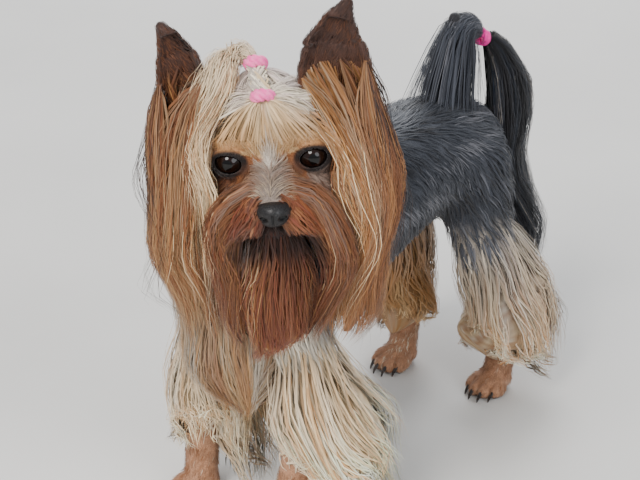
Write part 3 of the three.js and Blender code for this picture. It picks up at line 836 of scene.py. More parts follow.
def nose_material():
    """Black leather: rounded cells in the object's space give the pebbles, and slow noise varies its tone and
    roughness.
    """
    material, g, shader = new_material("Nose leather", Specular_IOR_Level=0.36, Coat_Weight=0.15,
                                       Coat_Roughness=0.25)
    place = g.add("ShaderNodeTexCoord")["Object"]
    cells = g.add("ShaderNodeTexVoronoi", {"feature": "DISTANCE_TO_EDGE"}, Vector=place, Scale=900.0)[0]
    dirt = g.noise(place, 500.0)
    colour = g.tinted(g.ramp(dirt, 0.3, 0.7), rgba("080708"), rgba("141113"))
    # the mesh's colours carry the painted shade of the nostrils and the groove
    g.feed(shader, Base_Color=g.tinted(1.0, colour, g.attribute("Coat", "Color"), "MULTIPLY"),
           Roughness=g.ramp(dirt, 0.3, 0.7, 0.38, 0.55), Normal=g.bump(g.ramp(cells, 0.0, 0.25), 0.6, 0.00025))
    return material


def plain_material(name, dark, light, scale, rough, **constants):
    """Two tones mixed by noise in the object's space, with the same noise as fine bump."""
    material, g, shader = new_material(name, **constants)
    grain = g.noise(g.add("ShaderNodeTexCoord")["Object"], scale, 4.0)
    g.feed(shader, Base_Color=g.tinted(g.ramp(grain, 0.3, 0.7), colour4(dark), colour4(light)),
           Roughness=g.ramp(grain, 0.3, 0.7, rough * 0.85, rough * 1.15), Normal=g.bump(grain, 0.3, 0.0002))
    return material


# ---------------------------------------------------------------- small hard pieces

def eye_sheet(side):
    """A ball about the gaze whose radius grows by a bell curve at the front, which is the cornea."""
    gaze, right, up = basis_of((GAZE[0] * side, *GAZE[1:]))
    rows, columns = 56, 72
    polar = np.linspace(0, 1, rows)[:, None] ** 1.25 * (math.pi - 0.04) + 0.02
    turn = np.arange(columns)[None] * FULL_TURN / columns
    radius = EYE_RADIUS - 0.15 + 0.55 * np.exp(-(polar / 0.55) ** 4)
    ways = (gaze * np.cos(polar)[..., None] + (right * np.cos(turn)[..., None] + up * np.sin(turn)[..., None])
            * np.sin(polar)[..., None])
    spots = on_head(EYE_AT * (side, 1, 1) + (ways * radius[..., None]).reshape(-1, 3))
    out = np.broadcast_to(polar * EYE_RADIUS, (rows, columns))
    vectors = cols(out, np.cos(turn), np.sin(turn)).reshape(-1, 3)
    return spots, tube_faces(rows, columns, flip=True), vectors


def nose_sheet():
    """A rounded box of leather: a superellipsoid with two comma hollows and a groove between them, which are
    darkened in its colours as painted shade.
    """
    rows, columns = 72, 96
    polar = np.linspace(0.03, math.pi - 0.03, rows)[:, None]
    turn = np.arange(columns)[None] * FULL_TURN / columns
    ahead = -np.cos(polar) * np.ones_like(turn)
    wide, high = np.sin(polar) * np.cos(turn), np.sin(polar) * np.sin(turn)
    square = 2.15
    stretch = (np.abs(wide) ** square + np.abs(high) ** square + np.abs(ahead) ** square) ** (-1 / square)
    x, y, z = wide * stretch * 8.6, ahead * stretch * 5.8, high * stretch * 6.1
    x = x * (1 + 0.08 * np.tanh(z / 3))
    y = y + 0.06 * x * x * 0.8
    hole = np.hypot((np.abs(x) - 4.3 + 0.25 * z) / 1.75, (z + 0.9) / 1.35)
    slit = np.exp(-((np.abs(x) - 6.3) / 1.6) ** 2 - ((z + 2.6) / 0.7) ** 2)
    groove = np.exp(-(x / 0.55) ** 2) * (z < 1.6)
    front = ahead < 0
    y = y + front * (2.8 * np.exp(-hole ** 4) + 1.5 * slit + 0.8 * groove)
    # painted shade: the nostril hollows, the slits and the groove darken the colours
    dark = 1 - front * np.clip(0.9 * np.exp(-hole ** 4) + 0.6 * slit + 0.4 * groove, 0, 0.95)
    spots = on_head(NOSE_AT + cols(x, y, z).reshape(-1, 3))
    return spots, tube_faces(rows, columns), np.repeat(dark.reshape(-1, 1), 3, 1)


def ring_sheet(centre, tilt, radius, thick, turns=8, rows=160, columns=24):
    """A wound ring: a circle swept round, its section's radius rippled by cords that wind about it."""
    a = np.arange(rows)[:, None] * FULL_TURN / rows
    b = np.arange(columns)[None] * FULL_TURN / columns
    r = thick * (0.62 + 0.38 * np.abs(np.cos(2 * b + turns * a / 2)) ** 0.6 + 0.06 * np.sin(3 * a + 1))
    out = radius + r * np.cos(b)
    local = cols(out * np.cos(a), out * np.sin(a), r * np.sin(b) * 1.25).reshape(-1, 3)
    c, s = math.cos(tilt), math.sin(tilt)
    local = local @ np.array([[1, 0, 0], [0, c, s], [0, -s, c]])
    r, c = np.meshgrid(np.arange(rows), np.arange(columns), indexing="ij")
    n, m = (r + 1) % rows, (c + 1) % columns
    faces = cols(r * columns + c, n * columns + c, n * columns + m, r * columns + m).reshape(-1, 4)
    return centre + local, faces


def claw_sheets(foot):
    """Four curved cones: each ring of the section shrinks by a power and follows an arc that droops."""
    fx, fy = FEET[foot][0]
    rows, columns, length, thick = 14, 14, 6.6, 1.45
    s = np.linspace(0, 1, rows)[:, None]
    b = np.arange(columns)[None] * FULL_TURN / columns
    angle = math.radians(22) + s * math.radians(52)
    y = -np.cumsum(np.cos(angle), 0) * length / rows
    z = -np.cumsum(np.sin(angle), 0) * length / rows
    r = thick * (1 - s ** 2.2 * 0.9)
    local = cols(r * 0.8 * np.cos(b), y + r * np.sin(b) * np.sin(angle), z + r * np.sin(b) * np.cos(angle))
    bases = [(fx + dx * 1.04, fy + dy - 6.0, 4.6) for dx, dy in TOES]
    spots = np.concatenate([np.array(base) + local.reshape(-1, 3) for base in bases])
    spots[:, 2] = np.maximum(spots[:, 2], 0.25)
    tubes = [tube_faces(rows, columns, True, i * rows * columns) for i in range(len(TOES))]
    return spots, [np.concatenate([tube[0] for tube in tubes])] + [cap for tube in tubes for cap in tube[1:]]


# ---------------------------------------------------------------- hair paths

def spline(table, t):
    """Values of a table's rows at t from 0 to 1, on a Catmull-Rom curve through the rows."""
    rows = np.concatenate([2 * table[:1] - table[1:2], table, 2 * table[-1:] - table[-2:-1]])
    x = np.clip(t, 0, 1) * (len(table) - 1)
    i = np.minimum(x.astype(int), len(table) - 2)
    f = (x - i)[..., None]
    a, b, c, d = (rows[i + j] for j in range(4))
    return 0.5 * (2 * b + (c - a) * f + (2 * a - 5 * b + 4 * c - d) * f ** 2 + (3 * b - a - 3 * c + d) * f ** 3)


def sections(table, across, t):
    """Centre, wide and deep half vectors of a swept mass at t."""
    here = spline(table, t)
    ahead = unit(spline(table, t + 0.02)[..., :3] - spline(table, t - 0.02)[..., :3])
    across = np.asarray(across, float)
    wide = unit(across - (ahead @ across)[..., None] * ahead)
    deep = np.cross(ahead, wide)
    return here[..., :3], wide * here[..., 3:4], deep * here[..., 4:5]


def drift(p, scale, seed):
    """A slow wandering direction: sines of three slanted coordinates of the place."""
    turn = np.random.default_rng(seed).uniform(0, 6.28, (3, 3))
    slant = np.random.default_rng(seed + 1).normal(size=(3, 3))
    return np.sin(p @ slant * scale + turn[0]) * np.sin(p @ slant[::-1] * scale * 1.7 + turn[1])


def clumped(paths, rng, count, pull):
    """Each path drawn to its clump's leading path by a share that grows smoothly along it."""
    count = min(count, len(paths))
    leaders = rng.choice(len(paths), count, replace=False)
    key = paths[:, paths.shape[1] // 3]
    own = key[leaders]
    near = ((own * own).sum(1) - 2 * key @ own.T).argmin(1)
    share = pull * smooth(0.15, 1.0, np.linspace(0, 1, paths.shape[1]))
    return paths + (paths[leaders[near]] - paths) * share[None, :, None]


def waved(paths, rng, amount, scale, t, curl):
    """Paths carried aside together by a slow drift of the place that grows with t, and each round a slanted
    ellipse of its own that widens along it."""
    n, k, _ = paths.shape
    s = np.linspace(0, 1, k)
    turn = 6.28 * (1.3 * s + rng.random((n, 1)))[..., None]
    own = rng.normal(size=(n, 1, 3)) * np.sin(turn) + rng.normal(size=(n, 1, 3)) * np.cos(turn)
    return paths + drift(paths, scale, 40) * (amount * t)[..., None] + own * s[:, None] * curl


def mass(skin, rng, count, steps, table, across, names, start=(0, 0.45), stop=(0.75, 1.0), where=None,
         clump=0.5, wave=3.0, bend=0.05, core=0.5, reach=1.0, clearance=0.8, rise=1.0, decay=2.0,
         spread=6.0, sweep=(0, 0, 0), curl=None):
    """Locks of a hanging mass: each keeps its place (u, v) in the section as that runs down the table, and
    starts from the root nearest to it or a little above or below, the offset to which fades as a power of
    the way down. The tips are carried off by `sweep`, which grows as a power of the way along."""
    table = np.array(table, float)
    turn = rng.uniform(0, 2 * math.pi, count)
    out = np.sort(np.sqrt(rng.uniform(core, 1, count))) * reach
    u, v = out * np.cos(turn), out * np.sin(turn)
    t0 = rng.uniform(*start, count) ** rise
    t1 = np.maximum(rng.uniform(*stop, count), t0 + 0.2)
    s = np.linspace(0, 1, steps)
    t = t0[:, None] + (t1 - t0)[:, None] * s
    centre, wide, deep = sections(table, across, t)
    paths = centre + wide * u[:, None, None] + deep * v[:, None, None]
    jitter = unit(paths[:, -1] - paths[:, 0]) * rng.normal(size=(count, 1)) * 1.5
    jitter = jitter + rng.normal(size=(count, 3)) * 0.4
    roots = skin.nearest(paths[:, 0] + jitter * spread, names, where)
    facing = unit(unit(wide) * u[:, None, None] + unit(deep) * v[:, None, None]
                  + skin.normals[roots][:, None] * 0.8)
    paths = waved(paths, rng, wave, bend, t, 0.14 * wave if curl is None else curl)
    paths = clumped(paths, rng, count // 14, clump)
    paths = paths + np.array(sweep, float) * (s ** 2.5 * t * (0.7 + 0.3 * u[:, None]))[..., None]
    paths = paths + (skin.spots[roots] - paths[:, 0])[:, None] * ((1 - s) ** decay)[None, :, None]
    depth = rng.uniform(0, 1, count)[:, None] * (0.2 + s)[None]
    paths = skin.away(paths, (clearance * (s > 0) + depth) - 0.4 * (s == 0))
    return paths, roots, facing, u, v, t


def grown(skin, rng, roots, flow, length, steps, lift, wander=0.3, swing=0.12, power=0.8, sink=0.5):
    """Locks that run over the skin: each step follows the flow flattened onto the surface, and the height
    above it rises from just inside by a power of the way along."""
    n = len(roots)
    length = np.broadcast_to(length, n)[:, None]
    p = skin.spots[roots] + rng.normal(size=(n, 3)) * 0.7
    value, lean = skin.probe(p)
    p = p - lean * (value + sink)[:, None]
    own = rng.normal(size=(n, 3)) * swing
    height = lift * rng.uniform(0.45, 1.25, n)
    out = [p]
    for i in range(1, steps):
        way = unit(flow(p)) + drift(p, 0.09, 5) * wander + own
        way = unit(way - (way * lean).sum(-1, keepdims=True) * lean)
        p = p + way * length / (steps - 1)
        value, lean = skin.probe(p)
        goal = height * (i / (steps - 1)) ** power
        p = p + lean * (goal - value)[:, None]
        out.append(p)
    return np.stack(out, 1)


def gathered(skin, rng, roots, end, spread, steps, bulge, clearance=1.0, layer=2.0):
    """Locks combed from their roots over the skin into a point: a straight run, raised by a bow and kept
    clear of the skin."""
    n = len(roots)
    s = np.linspace(0, 1, steps)[None, :, None]
    ends = end + unit(rng.normal(size=(n, 3))) * spread * rng.uniform(0.3, 1, (n, 1))
    start = skin.spots[roots]
    paths = start[:, None] * (1 - s) + ends[:, None] * s
    paths = paths + skin.normals[roots][:, None] * (4 * s * (1 - s)) * bulge * rng.uniform(0.5, 1.3, (n, 1, 1))
    s = s[..., 0]
    height = rng.uniform(0, 1, (n, 1)) * layer * np.sin(np.pi * s) + clearance * (s > 0) - 0.4 * (s == 0)
    return skin.away(paths, height, 3)


def shaded(rng, key, names, scale=0.12, seed=3, scatter=0.16):
    """Colours along an ordered list of names, from a slow noise of the place with a little scatter."""
    table = np.array([PALETTE[name] for name in names])
    value = 0.5 + 0.5 * drift(key, scale, seed)[:, 0] + rng.normal(size=len(key)) * scatter
    return spline(table, value) * rng.uniform(0.9, 1.1, (len(key), 1))


def breadths(rng, count, broad=0.35):
    """Half widths of locks against the usual one: a share of them broad, the rest fine."""
    return np.where(rng.random(count) < broad, rng.uniform(1.6, 3.0, count), rng.uniform(0.5, 0.95, count))


def tones(rng, count, *choices):
    """Colours picked by weight from (name or colour, weight) pairs and varied a little."""
    weights = np.array([w for _, w in choices], float)
    table = np.array([PALETTE[c] if isinstance(c, str) else c for c, _ in choices])
    pick = table[rng.choice(len(choices), count, p=weights / weights.sum())]
    return pick * rng.uniform(0.85, 1.15, (count, 1))


# ---------------------------------------------------------------- coat tables
# Each row of a hanging mass is (x, y, z, half width, half depth) at one section, from its top to its tips.
# These tables are head-local.

HEAD_ACROSS = np.array(X_AXIS) @ HEAD
FALLS = {
    "face_fall_left": ((33, 18, 38, 13, 12), (38.5, 16, 23, 15, 18), (46, 12, -2, 15, 21), (47.5, 10, -28, 14, 22),
                       (42.5, 9, -55, 13.5, 20), (33, 7, -81, 13.5, 16), (22, 4, -105, 10, 10)),
    "face_fall_right": ((-40, 16, 42, 12, 13), (-42.5, 14, 28, 15, 19), (-46.5, 12, 4, 16, 22),
                        (-49, 10, -22, 15.5, 23), (-49.5, 9, -48, 13, 20), (-44.5, 7, -75, 14, 16),
                        (-37, 2, -102, 11, 11)),
}
MOUSTACHES = {
    "moustache_left": ((9, -13, -5, 5, 5), (21, -14, -11, 6, 6), (28.5, -14, -23, 6, 7), (30, -13, -41, 6, 8),
                       (27, -12, -60, 8, 9), (19, -11, -80, 9, 9), (7, -11, -95, 6, 6)),
    "moustache_right": ((-9, -13, -6, 5, 5), (-22, -14, -12, 6, 6), (-29.5, -14, -23, 6, 7), (-31, -13, -40, 6, 8),
                        (-29, -12, -58, 8, 9), (-24, -11, -78, 9, 9), (-14, -11, -94, 6, 6)),
}
BEARD = ((0, -17, -31, 20, 8), (0, -18, -44, 25, 10), (-1.5, -17, -60, 24, 10), (-5, -15, -79, 18, 9),
         (-8.5, -14, -95, 10, 7), (-10.5, -13, -106, 4, 4))
TOPKNOT_FALL = ((-4, 17, 44, 2.6, 2.6), (-8, 19, 48, 3, 3), (-14, 20, 49, 5, 3.5), (-23, 18, 43, 7, 4),
                (-29, 11, 28, 8, 4.5), (-33, 2, 10, 8, 4.5), (-36, -5, -10, 7, 4.5), (-38, -9, -34, 6, 4),
                (-34, -12, -50, 6, 4))
# The rest are in the dog's own frame.
CHEST = ((9, -20, 166, 24, 14), (5, -27, 144, 29, 14), (3, -26, 118, 28, 15), (4, -20, 94, 23, 16),
         (5, -12, 74, 15, 12), (6, -8, 62, 7, 7))
LOWER_LEGS = {
    "fore_left": ((31, 14, 104, 20, 25), (34, 14, 86, 25, 30), (38, 17, 66, 29, 34), (42, 22, 48, 31, 36),
                  (41, 21, 34, 28, 31), (37, 15, 19, 23, 24)),
    "fore_right": ((-31, 12, 104, 20, 25), (-32, 13, 86, 25, 30), (-33, 16, 66, 30, 33), (-32, 19, 46, 33, 36),
                   (-30, 13, 31, 29, 32), (-30, 4, 18, 22, 24)),
    "hind_left": ((31, 180, 108, 19, 29), (34, 187, 88, 24, 34), (35, 192, 66, 26, 38), (36, 194, 46, 26, 40),
                  (33, 189, 31, 23, 34), (32, 182, 20, 17, 20)),
    "hind_right": ((-31, 174, 108, 19, 29), (-34, 180, 88, 22, 32), (-36, 186, 66, 23, 32), (-37, 190, 46, 22, 30),
                   (-34, 188, 32, 17, 23), (-32, 183, 22, 14, 16)),
}
TAIL_DOCK = ((0, 172, 160, 14, 20), (0, 178, 180, 13, 20), (0, 184, 200, 12, 17.5), (0, 189, 214, 9.5, 14),
             (0.3, 198, 218, 7, 9), (0.6, 206, 213, 4.5, 5.5), (1, 211.5, 208.5, 3.2, 3.4))
TAIL_FALL = ((2, 214, 207, 3, 3), (4, 219, 205, 5, 5), (9.5, 225, 191, 9, 9), (12, 226, 164, 12, 13),
             (10.5, 226, 137, 12, 14), (15, 229, 111, 11, 13), (26, 231, 84, 10, 11), (33, 233, 58, 6, 6))
# how far each leg's tips are carried off, and how much lighter than the roots they are: partly the hair's own
# paler tips, partly painted light that makes the left foreleg brightest and the right foreleg darkest
LEG_SWEEPS = {"fore_left": (30, -10, 6), "fore_right": (16, -6, 2), "hind_left": (16, 4, 9),
              "hind_right": (0, 0, 0)}
TIP_GAINS_WITH_PAINTED_LIGHT = {"fore_left": 1.6, "fore_right": 1.25, "hind_left": 1.35, "hind_right": 1.35}
# colour names down each leg: above the elbow or stifle, about it, and below
FORE_SHADES = (("steel", "steel", "ash", "grey"), ("gold", "blond", "blond", "cream"),
               ("gold", "blond", "cream", "blond", "cream"))
LEG_SHADES = {
    "fore_left": FORE_SHADES,
    "fore_right": FORE_SHADES,
    "hind_left": (("black", "steel", "ash"), ("steel", "ash", "silver", "cream"),
                  ("blond", "gold", "cream", "blond")),
    "hind_right": (("black", "steel", "ash"), ("grey", "tan", "sand", "gold"), ("gold", "sand", "blond")),
}
# numbers of locks at full density; the trunk's is for each half, and those of paired parts for each side
LOCK_COUNTS = {
    "trunk": 4800, "neck": 1300, "chest": 1600, "face": 6000, "lips": 1400, "forehead": 2800, "crown": 650,
    "nape": 600, "topknot_fall": 750, "cape": 950, "falls": 3600, "moustaches": 1000, "beard": 1400, "ears": 1650,
    "upper_legs": 700, "lower_legs": 1250, "tail_dock": 1100, "tail_fall": 1150, "feet": 800,
}
# the first random seed of each group
SEEDS = {
    "trunk": 100, "neck": 200, "face": 300, "topknot": 400, "falls": 500, "moustaches": 600, "beard": 610,
    "ears": 700, "legs": 800, "lower_legs": 810, "tail": 900, "feet": 1000,
}
# how strongly each kind of hair is streaked, and how much its locks differ
FURS = {
    "Steel fur": (0.6, 0.16),
    "Gold hair": (0.5, 0.15),
    "Pale hair": (0.45, 0.14),
    "Face fur": (0.6, 0.2),
    "Topknot hair": (0.45, 0.12),
    "Face hair": (0.6, 0.2),
    "Beard hair": (0.6, 0.25),
    "Ear fur": (0.6, 0.2),
    "Dark hair": (0.7, 0.25),
    "Foot fur": (0.5, 0.2),
}
DOWN_WIDTH = (0.2, 0.36)
LIGHTS = (("Key", (150, -1300, 1500), 900, 42, (1.0, 0.97, 0.93)),
          ("Fill", (1500, -300, 900), 1100, 14, (0.92, 0.96, 1.0)),
          ("Rim", (-700, 1300, 1200), 900, 22, (0.95, 0.97, 1.0)))
LIGHTS_AIM = (0, 60, 120)
CAMERA_AT, CAMERA_WAY, CAMERA_LENS = (651.5, -769.4, 627.8), (-0.558, 0.714, -0.423), 122.6
FLESH = ("skull", "muzzle", "jaw", "ear_left", "ear_right", "neck", "trunk_front", "trunk_rear", "tail_dock",
         *[part + side for part in ("fore_upper_", "fore_lower_", "thigh_", "hind_lower_", "paw_fore_",
                                    "paw_hind_") for side in ("left", "right")])


def head_table(rows):
    """A head-local table moved into the dog's frame."""
    at = np.array(rows, float)
    at[:, :3] = on_head(at[:, :3])
    return at


def heading(way):
    """A flow that is the same everywhere, given in the dog's frame."""
    return lambda p: np.broadcast_to(np.asarray(way, float), p.shape)


def settings():
    """The sizes and colours that the panel shows."""
    return bpy.context.scene.still_terrier


def share(part):
    """How many locks a part of the coat gets at the chosen density."""
    return max(int(LOCK_COUNTS[part] * settings().density), 30)


def draws(group, step=0):
    """The random numbers of a group's piece."""
    return np.random.default_rng(SEEDS[group] + step)


def side_of(name):
    """1 for a piece on the dog's left and -1 for one on its right."""
    return 1 if name.endswith("left") else -1


@functools.lru_cache(maxsize=None)
def dog_skin():
    """The skin, worked out once."""
    return Skin()


@functools.lru_cache(maxsize=None)
def fur(name):
    """The hair material of a name in FURS, made once."""
    return hair_material(name, *FURS[name])


# ---------------------------------------------------------------- operators

class TerrierLook(bpy.types.PropertyGroup):
    density: FloatProperty(name="Density", description="Number of locks against the full coat", default=1.0,
                           min=0.1, max=1.0, subtype="FACTOR")
    lock_width: FloatProperty(name="Lock width", description="Half width of a long lock at its middle",
                              default=0.00042, unit="LENGTH", precision=5)
    fur_length: FloatProperty(name="Body fur", description="Length of the short fur on the back",
                              default=0.0115, unit="LENGTH", precision=4)
    pupil: FloatProperty(name="Pupil", description="Radius of each pupil", default=0.0026, unit="LENGTH",
                         precision=4)
    iris: FloatVectorProperty(name="Iris", description="Colour of the iris", subtype="COLOR", size=3,
                              default=tuple(tint("170a05")), min=0, max=1)
    band: FloatVectorProperty(name="Tail band", description="Colour of the band on the tail",
                              subtype="COLOR", size=3, default=tuple(tint("fc28a0")), min=0, max=1)
    bow: FloatVectorProperty(name="Topknot bands", description="Colour of the two bands on the head",
                             subtype="COLOR", size=3, default=tuple(tint("fc52a4")), min=0, max=1)


class OBJECT_OT_terrier_skin(bpy.types.Operator):
    """Builds the one skin under the coat"""
    bl_idname = "object.terrier_skin"
    bl_label = "Skin"

    def execute(self, context):
        skin = dog_skin()
        thing = make_object("skin", skin.spots, skin.faces, skin_material(), markings_and_shade(skin.spots, skin.limb))
        context.view_layer.objects.active = thing
        thing.select_set(True)
        thing.data.uv_layers.new(name="OFBake")
        bpy.ops.object.mode_set(mode="EDIT")
        bpy.ops.mesh.select_all(action="SELECT")
        bpy.ops.uv.smart_project(angle_limit=math.radians(75), island_margin=0.002)
        bpy.ops.object.mode_set(mode="OBJECT")
        thing.select_set(False)
        mesh = thing.data
        uv = np.empty(len(mesh.loops) * 2, np.float32)
        mesh.uv_layers["OFBake"].uv.foreach_get("vector", uv)
        corner = np.empty(len(mesh.loops), np.int32)
        mesh.loops.foreach_get("vertex_index", corner)
        skin.uv[corner] = uv.reshape(-1, 2)
        declared(thing, "steel_coat", *FLESH)
        return {"FINISHED"}


class OBJECT_OT_terrier_eyes(bpy.types.Operator):
    """Builds both eyes"""
    bl_idname = "object.terrier_eyes"
    bl_label = "Eyes"

    def execute(self, context):
        look = settings()
        material = eye_material(look.iris, look.pupil * 1000)
        for side, node in ((1, "eye_left"), (-1, "eye_right")):
            spots, faces, vectors = eye_sheet(side)
            declared(make_object("eyeball_" + node[4:], spots, faces, material, vectors=vectors), "eye", node)
        return {"FINISHED"}


class OBJECT_OT_terrier_nose(bpy.types.Operator):
    """Builds the nose leather"""
    bl_idname = "object.terrier_nose"
    bl_label = "Nose"

    def execute(self, context):
        spots, faces, colours = nose_sheet()
        declared(make_object("nose_leather", spots, faces, nose_material(), colours), "nose", "nose")
        return {"FINISHED"}


class OBJECT_OT_terrier_claws(bpy.types.Operator):
    """Builds the sixteen claws, four to a foot"""
    bl_idname = "object.terrier_claws"
    bl_label = "Claws"

    def execute(self, context):
        material = plain_material("Claw horn", tint("16120f"), tint("3a2c24"), 700.0, 0.35, Specular_IOR_Level=0.5)
        for foot in FEET:
            spots, faces = claw_sheets(foot)
            nodes = ["claw_%s_%d" % (foot, i) for i in range(1, 5)]
            declared(make_object("claws_" + foot, spots, faces, material), "claw", *nodes)
        return {"FINISHED"}


class OBJECT_OT_terrier_bands(bpy.types.Operator):
    """Builds the three stretched hair bands"""
    bl_idname = "object.terrier_bands"
    bl_label = "Hair bands"

    def execute(self, context):
        bow, band = np.array(settings().bow), np.array(settings().band)
        soft = dict(Specular_IOR_Level=0.4, Sheen_Weight=0.2)
        pale = plain_material("Pale band", bow, 0.86 * bow + 0.12, 420.0, 0.5, **soft)
        vivid = plain_material("Vivid band", band * 0.8, band, 900.0, 0.5, **soft)
        for node, at, tilt, radius in (("topknot_band_low", BAND_LOW, -36, 4.0),
                                       ("topknot_band_high", BAND_HIGH, -34, 3.8)):
            local, faces = ring_sheet(np.zeros(3), math.radians(tilt), radius, 2.6)
            declared(make_object(node + "_wound", on_head(at + local), faces, pale), "band", node)
        local, faces = ring_sheet(TAIL_BAND, math.radians(110), 3.8, 2.4)
        declared(make_object("tail_band_wound", local, faces, vivid), "band", "tail_band")
        return {"FINISHED"}


def under_sheet(rng, table, across, fill, wave, bend, rows=32, columns=36):
    """A closed sheet inside a mass: its section at the share `fill`, drawn in at both ends by smooth steps,
    with ridges along it from random heights, carried aside as the locks are."""
    t = np.linspace(0.1, 0.93, rows)
    turn = np.arange(columns) * FULL_TURN / columns
    ridge = rng.normal(size=columns)
    centre, wide, deep = sections(table, across, t)
    ends = np.minimum(smooth(0.06, 0.45, t), np.sqrt(smooth(0.97, 0.6, t)))
    r = fill * ends[:, None] * (1 + 0.04 * ridge[None])
    u, v = np.cos(turn)[None], np.sin(turn)[None]
    spots = centre[:, None] + wide[:, None] * (u * r)[..., None] + deep[:, None] * (v * r)[..., None]
    spots = spots + drift(spots, bend, 40) * (wave * t)[:, None, None]
    girth = np.linalg.norm(wide, axis=1).max() + np.linalg.norm(deep, axis=1).max()
    length = np.linalg.norm(np.diff(centre, axis=0), axis=1).sum()
    a, b = np.meshgrid(t, turn, indexing="ij")
    vectors = cols(np.abs(b - math.pi) * girth / 2, a * length * 0.1, 0.5).reshape(-1, 3)
    faces = tube_faces(rows, columns)
    corner = cols(faces[0] % columns / columns, faces[0] // columns / (rows - 1))
    corner[..., 0] += (corner[..., 0] < corner[..., 0].max(1, keepdims=True) - 0.5)
    ring = cols(0.5 + 0.004 * np.cos(turn), 0.5 + 0.004 * np.sin(turn))
    uv = np.concatenate([corner.reshape(-1, 2) * (0.98, 0.96) + (0.01, 0.02), (ring * (1, 0.02))[::-1],
                         ring * (1, 0.02) + (0, 0.985)])
    return spots.reshape(-1, 3), faces, vectors, np.clip(uv, 0, 1), a.ravel(), np.cos(b).ravel(), np.sin(b).ravel()


def hang(name, seed, slot, nodes, kind, table, across, names, paint, part, steps, locks=None, fill=0.62,
         broad=0.3, skip=0, wave=4.0, bend=0.05, shadow=0.5, taper=1.8, **lie):
    """One hanging mass: an undercoat sheet at the share `fill` of its section and the locks over it, coloured
    by paint(rng, u, v, start), where u and v are a lock's place in the section and start how far down it
    begins."""
    skin, rng, material = dog_skin(), np.random.default_rng(seed), fur(kind)
    table = np.array(table, float)
    count = share(part)
    locks = locks or Locks(skin)
    paths, roots, facing, u, v, t = mass(skin, rng, count, steps, table, across, names, wave=wave, bend=bend,
                                         **lie)
    root, tip = paint(rng, u, v, t[:, 0])
    root = blend(skin.ground(roots), root, 0.6)
    width = settings().lock_width * 1000
    wide = np.sort(breadths(rng, count, broad))[::-1] * width
    locks.add(paths[:, skip:], roots, wide, root, tip, flat=0.35, taper=taper, facing=facing[:, skip:])
    declared(locks.build("coat_" + name, material, seed), slot, *nodes)
    if not fill:
        return
    spots, faces, vectors, uv, t, u, v = under_sheet(rng, table, across, fill, wave, bend)
    root, tip = paint(rng, u, v, t * 0.5)
    colours = blend(root, tip, t) * shadow
    declared(make_object("under_" + name, spots, faces, material, colours, uv, vectors), slot, *nodes)


class OBJECT_OT_terrier_trunk(bpy.types.Operator):
    """Builds the short blue-black fur of the back and flanks"""
    bl_idname = "object.terrier_trunk"
    bl_label = "Trunk coat"

    def execute(self, context):
        skin, length = dog_skin(), settings().fur_length * 1000

        def flow(p):
            side = np.abs(p[:, 0]) / 38
            return cols(0, 1 - 0.35 * side, -0.25 - 0.75 * side)

        for seed, (name, low, high) in enumerate((("trunk_front", -40, 88), ("trunk_rear", 88, 230))):
            rng = draws("trunk", seed)
            locks = Locks(skin)
            roots = skin.roots(rng, share("trunk"), ("trunk",), lambda p: (p[:, 1] >= low) * (p[:, 1] < high))
            at = skin.spots[roots]
            under = smooth(128, 108, at[:, 2]) * (at[:, 1] > 20)
            longer = 1 + 0.7 * under + 0.4 * smooth(160, 130, at[:, 2])
            size = length * rng.uniform(0.7, 1.4, len(roots)) * longer
            paths = grown(skin, rng, roots, flow, size, 4, 2.0, wander=0.3, swing=0.12)
            colour = shaded(rng, at * (1, 0.45, 1), ("black", "steel", "steel", "ash"), 0.12, 9, 0.12) * 0.88
            pale = shaded(rng, at, ("grey", "silver", "cream"), 0.1, 4)
            colour = blend(colour, pale, np.maximum(under * 0.8, bib(at)))
            locks.add(paths, roots, rng.uniform(0.35, 0.7, len(roots)), colour * 0.7, colour * 1.0, flat=0.25)
            declared(locks.build("coat_" + name, fur("Steel fur"), seed), "steel_coat", name)
        return {"FINISHED"}


class OBJECT_OT_terrier_neck(bpy.types.Operator):
    """Builds the neck's long fur and the pale bib"""
    bl_idname = "object.terrier_neck"
    bl_label = "Neck and chest"

    def execute(self, context):
        skin, rng = dog_skin(), draws("neck")
        locks = Locks(skin)
        roots = skin.roots(rng, share("neck"), ("neck", "nape", "crown"),
                           lambda p: (to_head(p)[:, 1] > 26) * (to_head(p)[:, 2] < 22))
        at = skin.spots[roots]
        paths = grown(skin, rng, roots, heading((0, 0.55, -1)), rng.uniform(22, 40, len(roots)), 6, 8, wander=0.4)
        colour = blend(shaded(rng, at, ("brown", "tan", "gold")), shaded(rng, at, ("black", "steel", "brown")),
                       smooth(18, 44, at[:, 1]))
        locks.add(paths, roots, breadths(rng, len(roots), 0.3) * 0.45, colour * 0.75, colour * 1.1, flat=0.3)
        declared(locks.build("coat_neck", fur("Gold hair"), 1), "gold_coat", "neck")

        def paint(rng, u, v, start):
            key = cols(u * 22, v * 12, start * 8)
            colour = shaded(rng, key, ("tan", "gold", "sand", "silver", "blond"), 0.2, scatter=0.1)
            # roots and tips are kept dark as painted shade under the head
            return colour * 0.5, colour * 0.88

        hang("chest", SEEDS["neck"] + 1, "cream_coat", ("chest_coat",), "Pale hair", CHEST, X_AXIS,
             ("trunk", "neck", "fore_left", "fore_right"), paint, "chest", 7, fill=0.55, start=(0, 0.7),
             stop=(0.5, 1.0), where=lambda p: (p[:, 1] < 30) * (p[:, 2] > 90), wave=6.0, clump=0.4)
        return {"FINISHED"}


def lip_place(p):
    """Where the hair of the upper lip is rooted: both sides of the muzzle under the bridge."""
    q = to_head(p)
    return (q[:, 2] < -8) * (q[:, 2] > -25) * (q[:, 1] < -2) * (np.abs(q[:, 0]) > 3.5) * 1.0


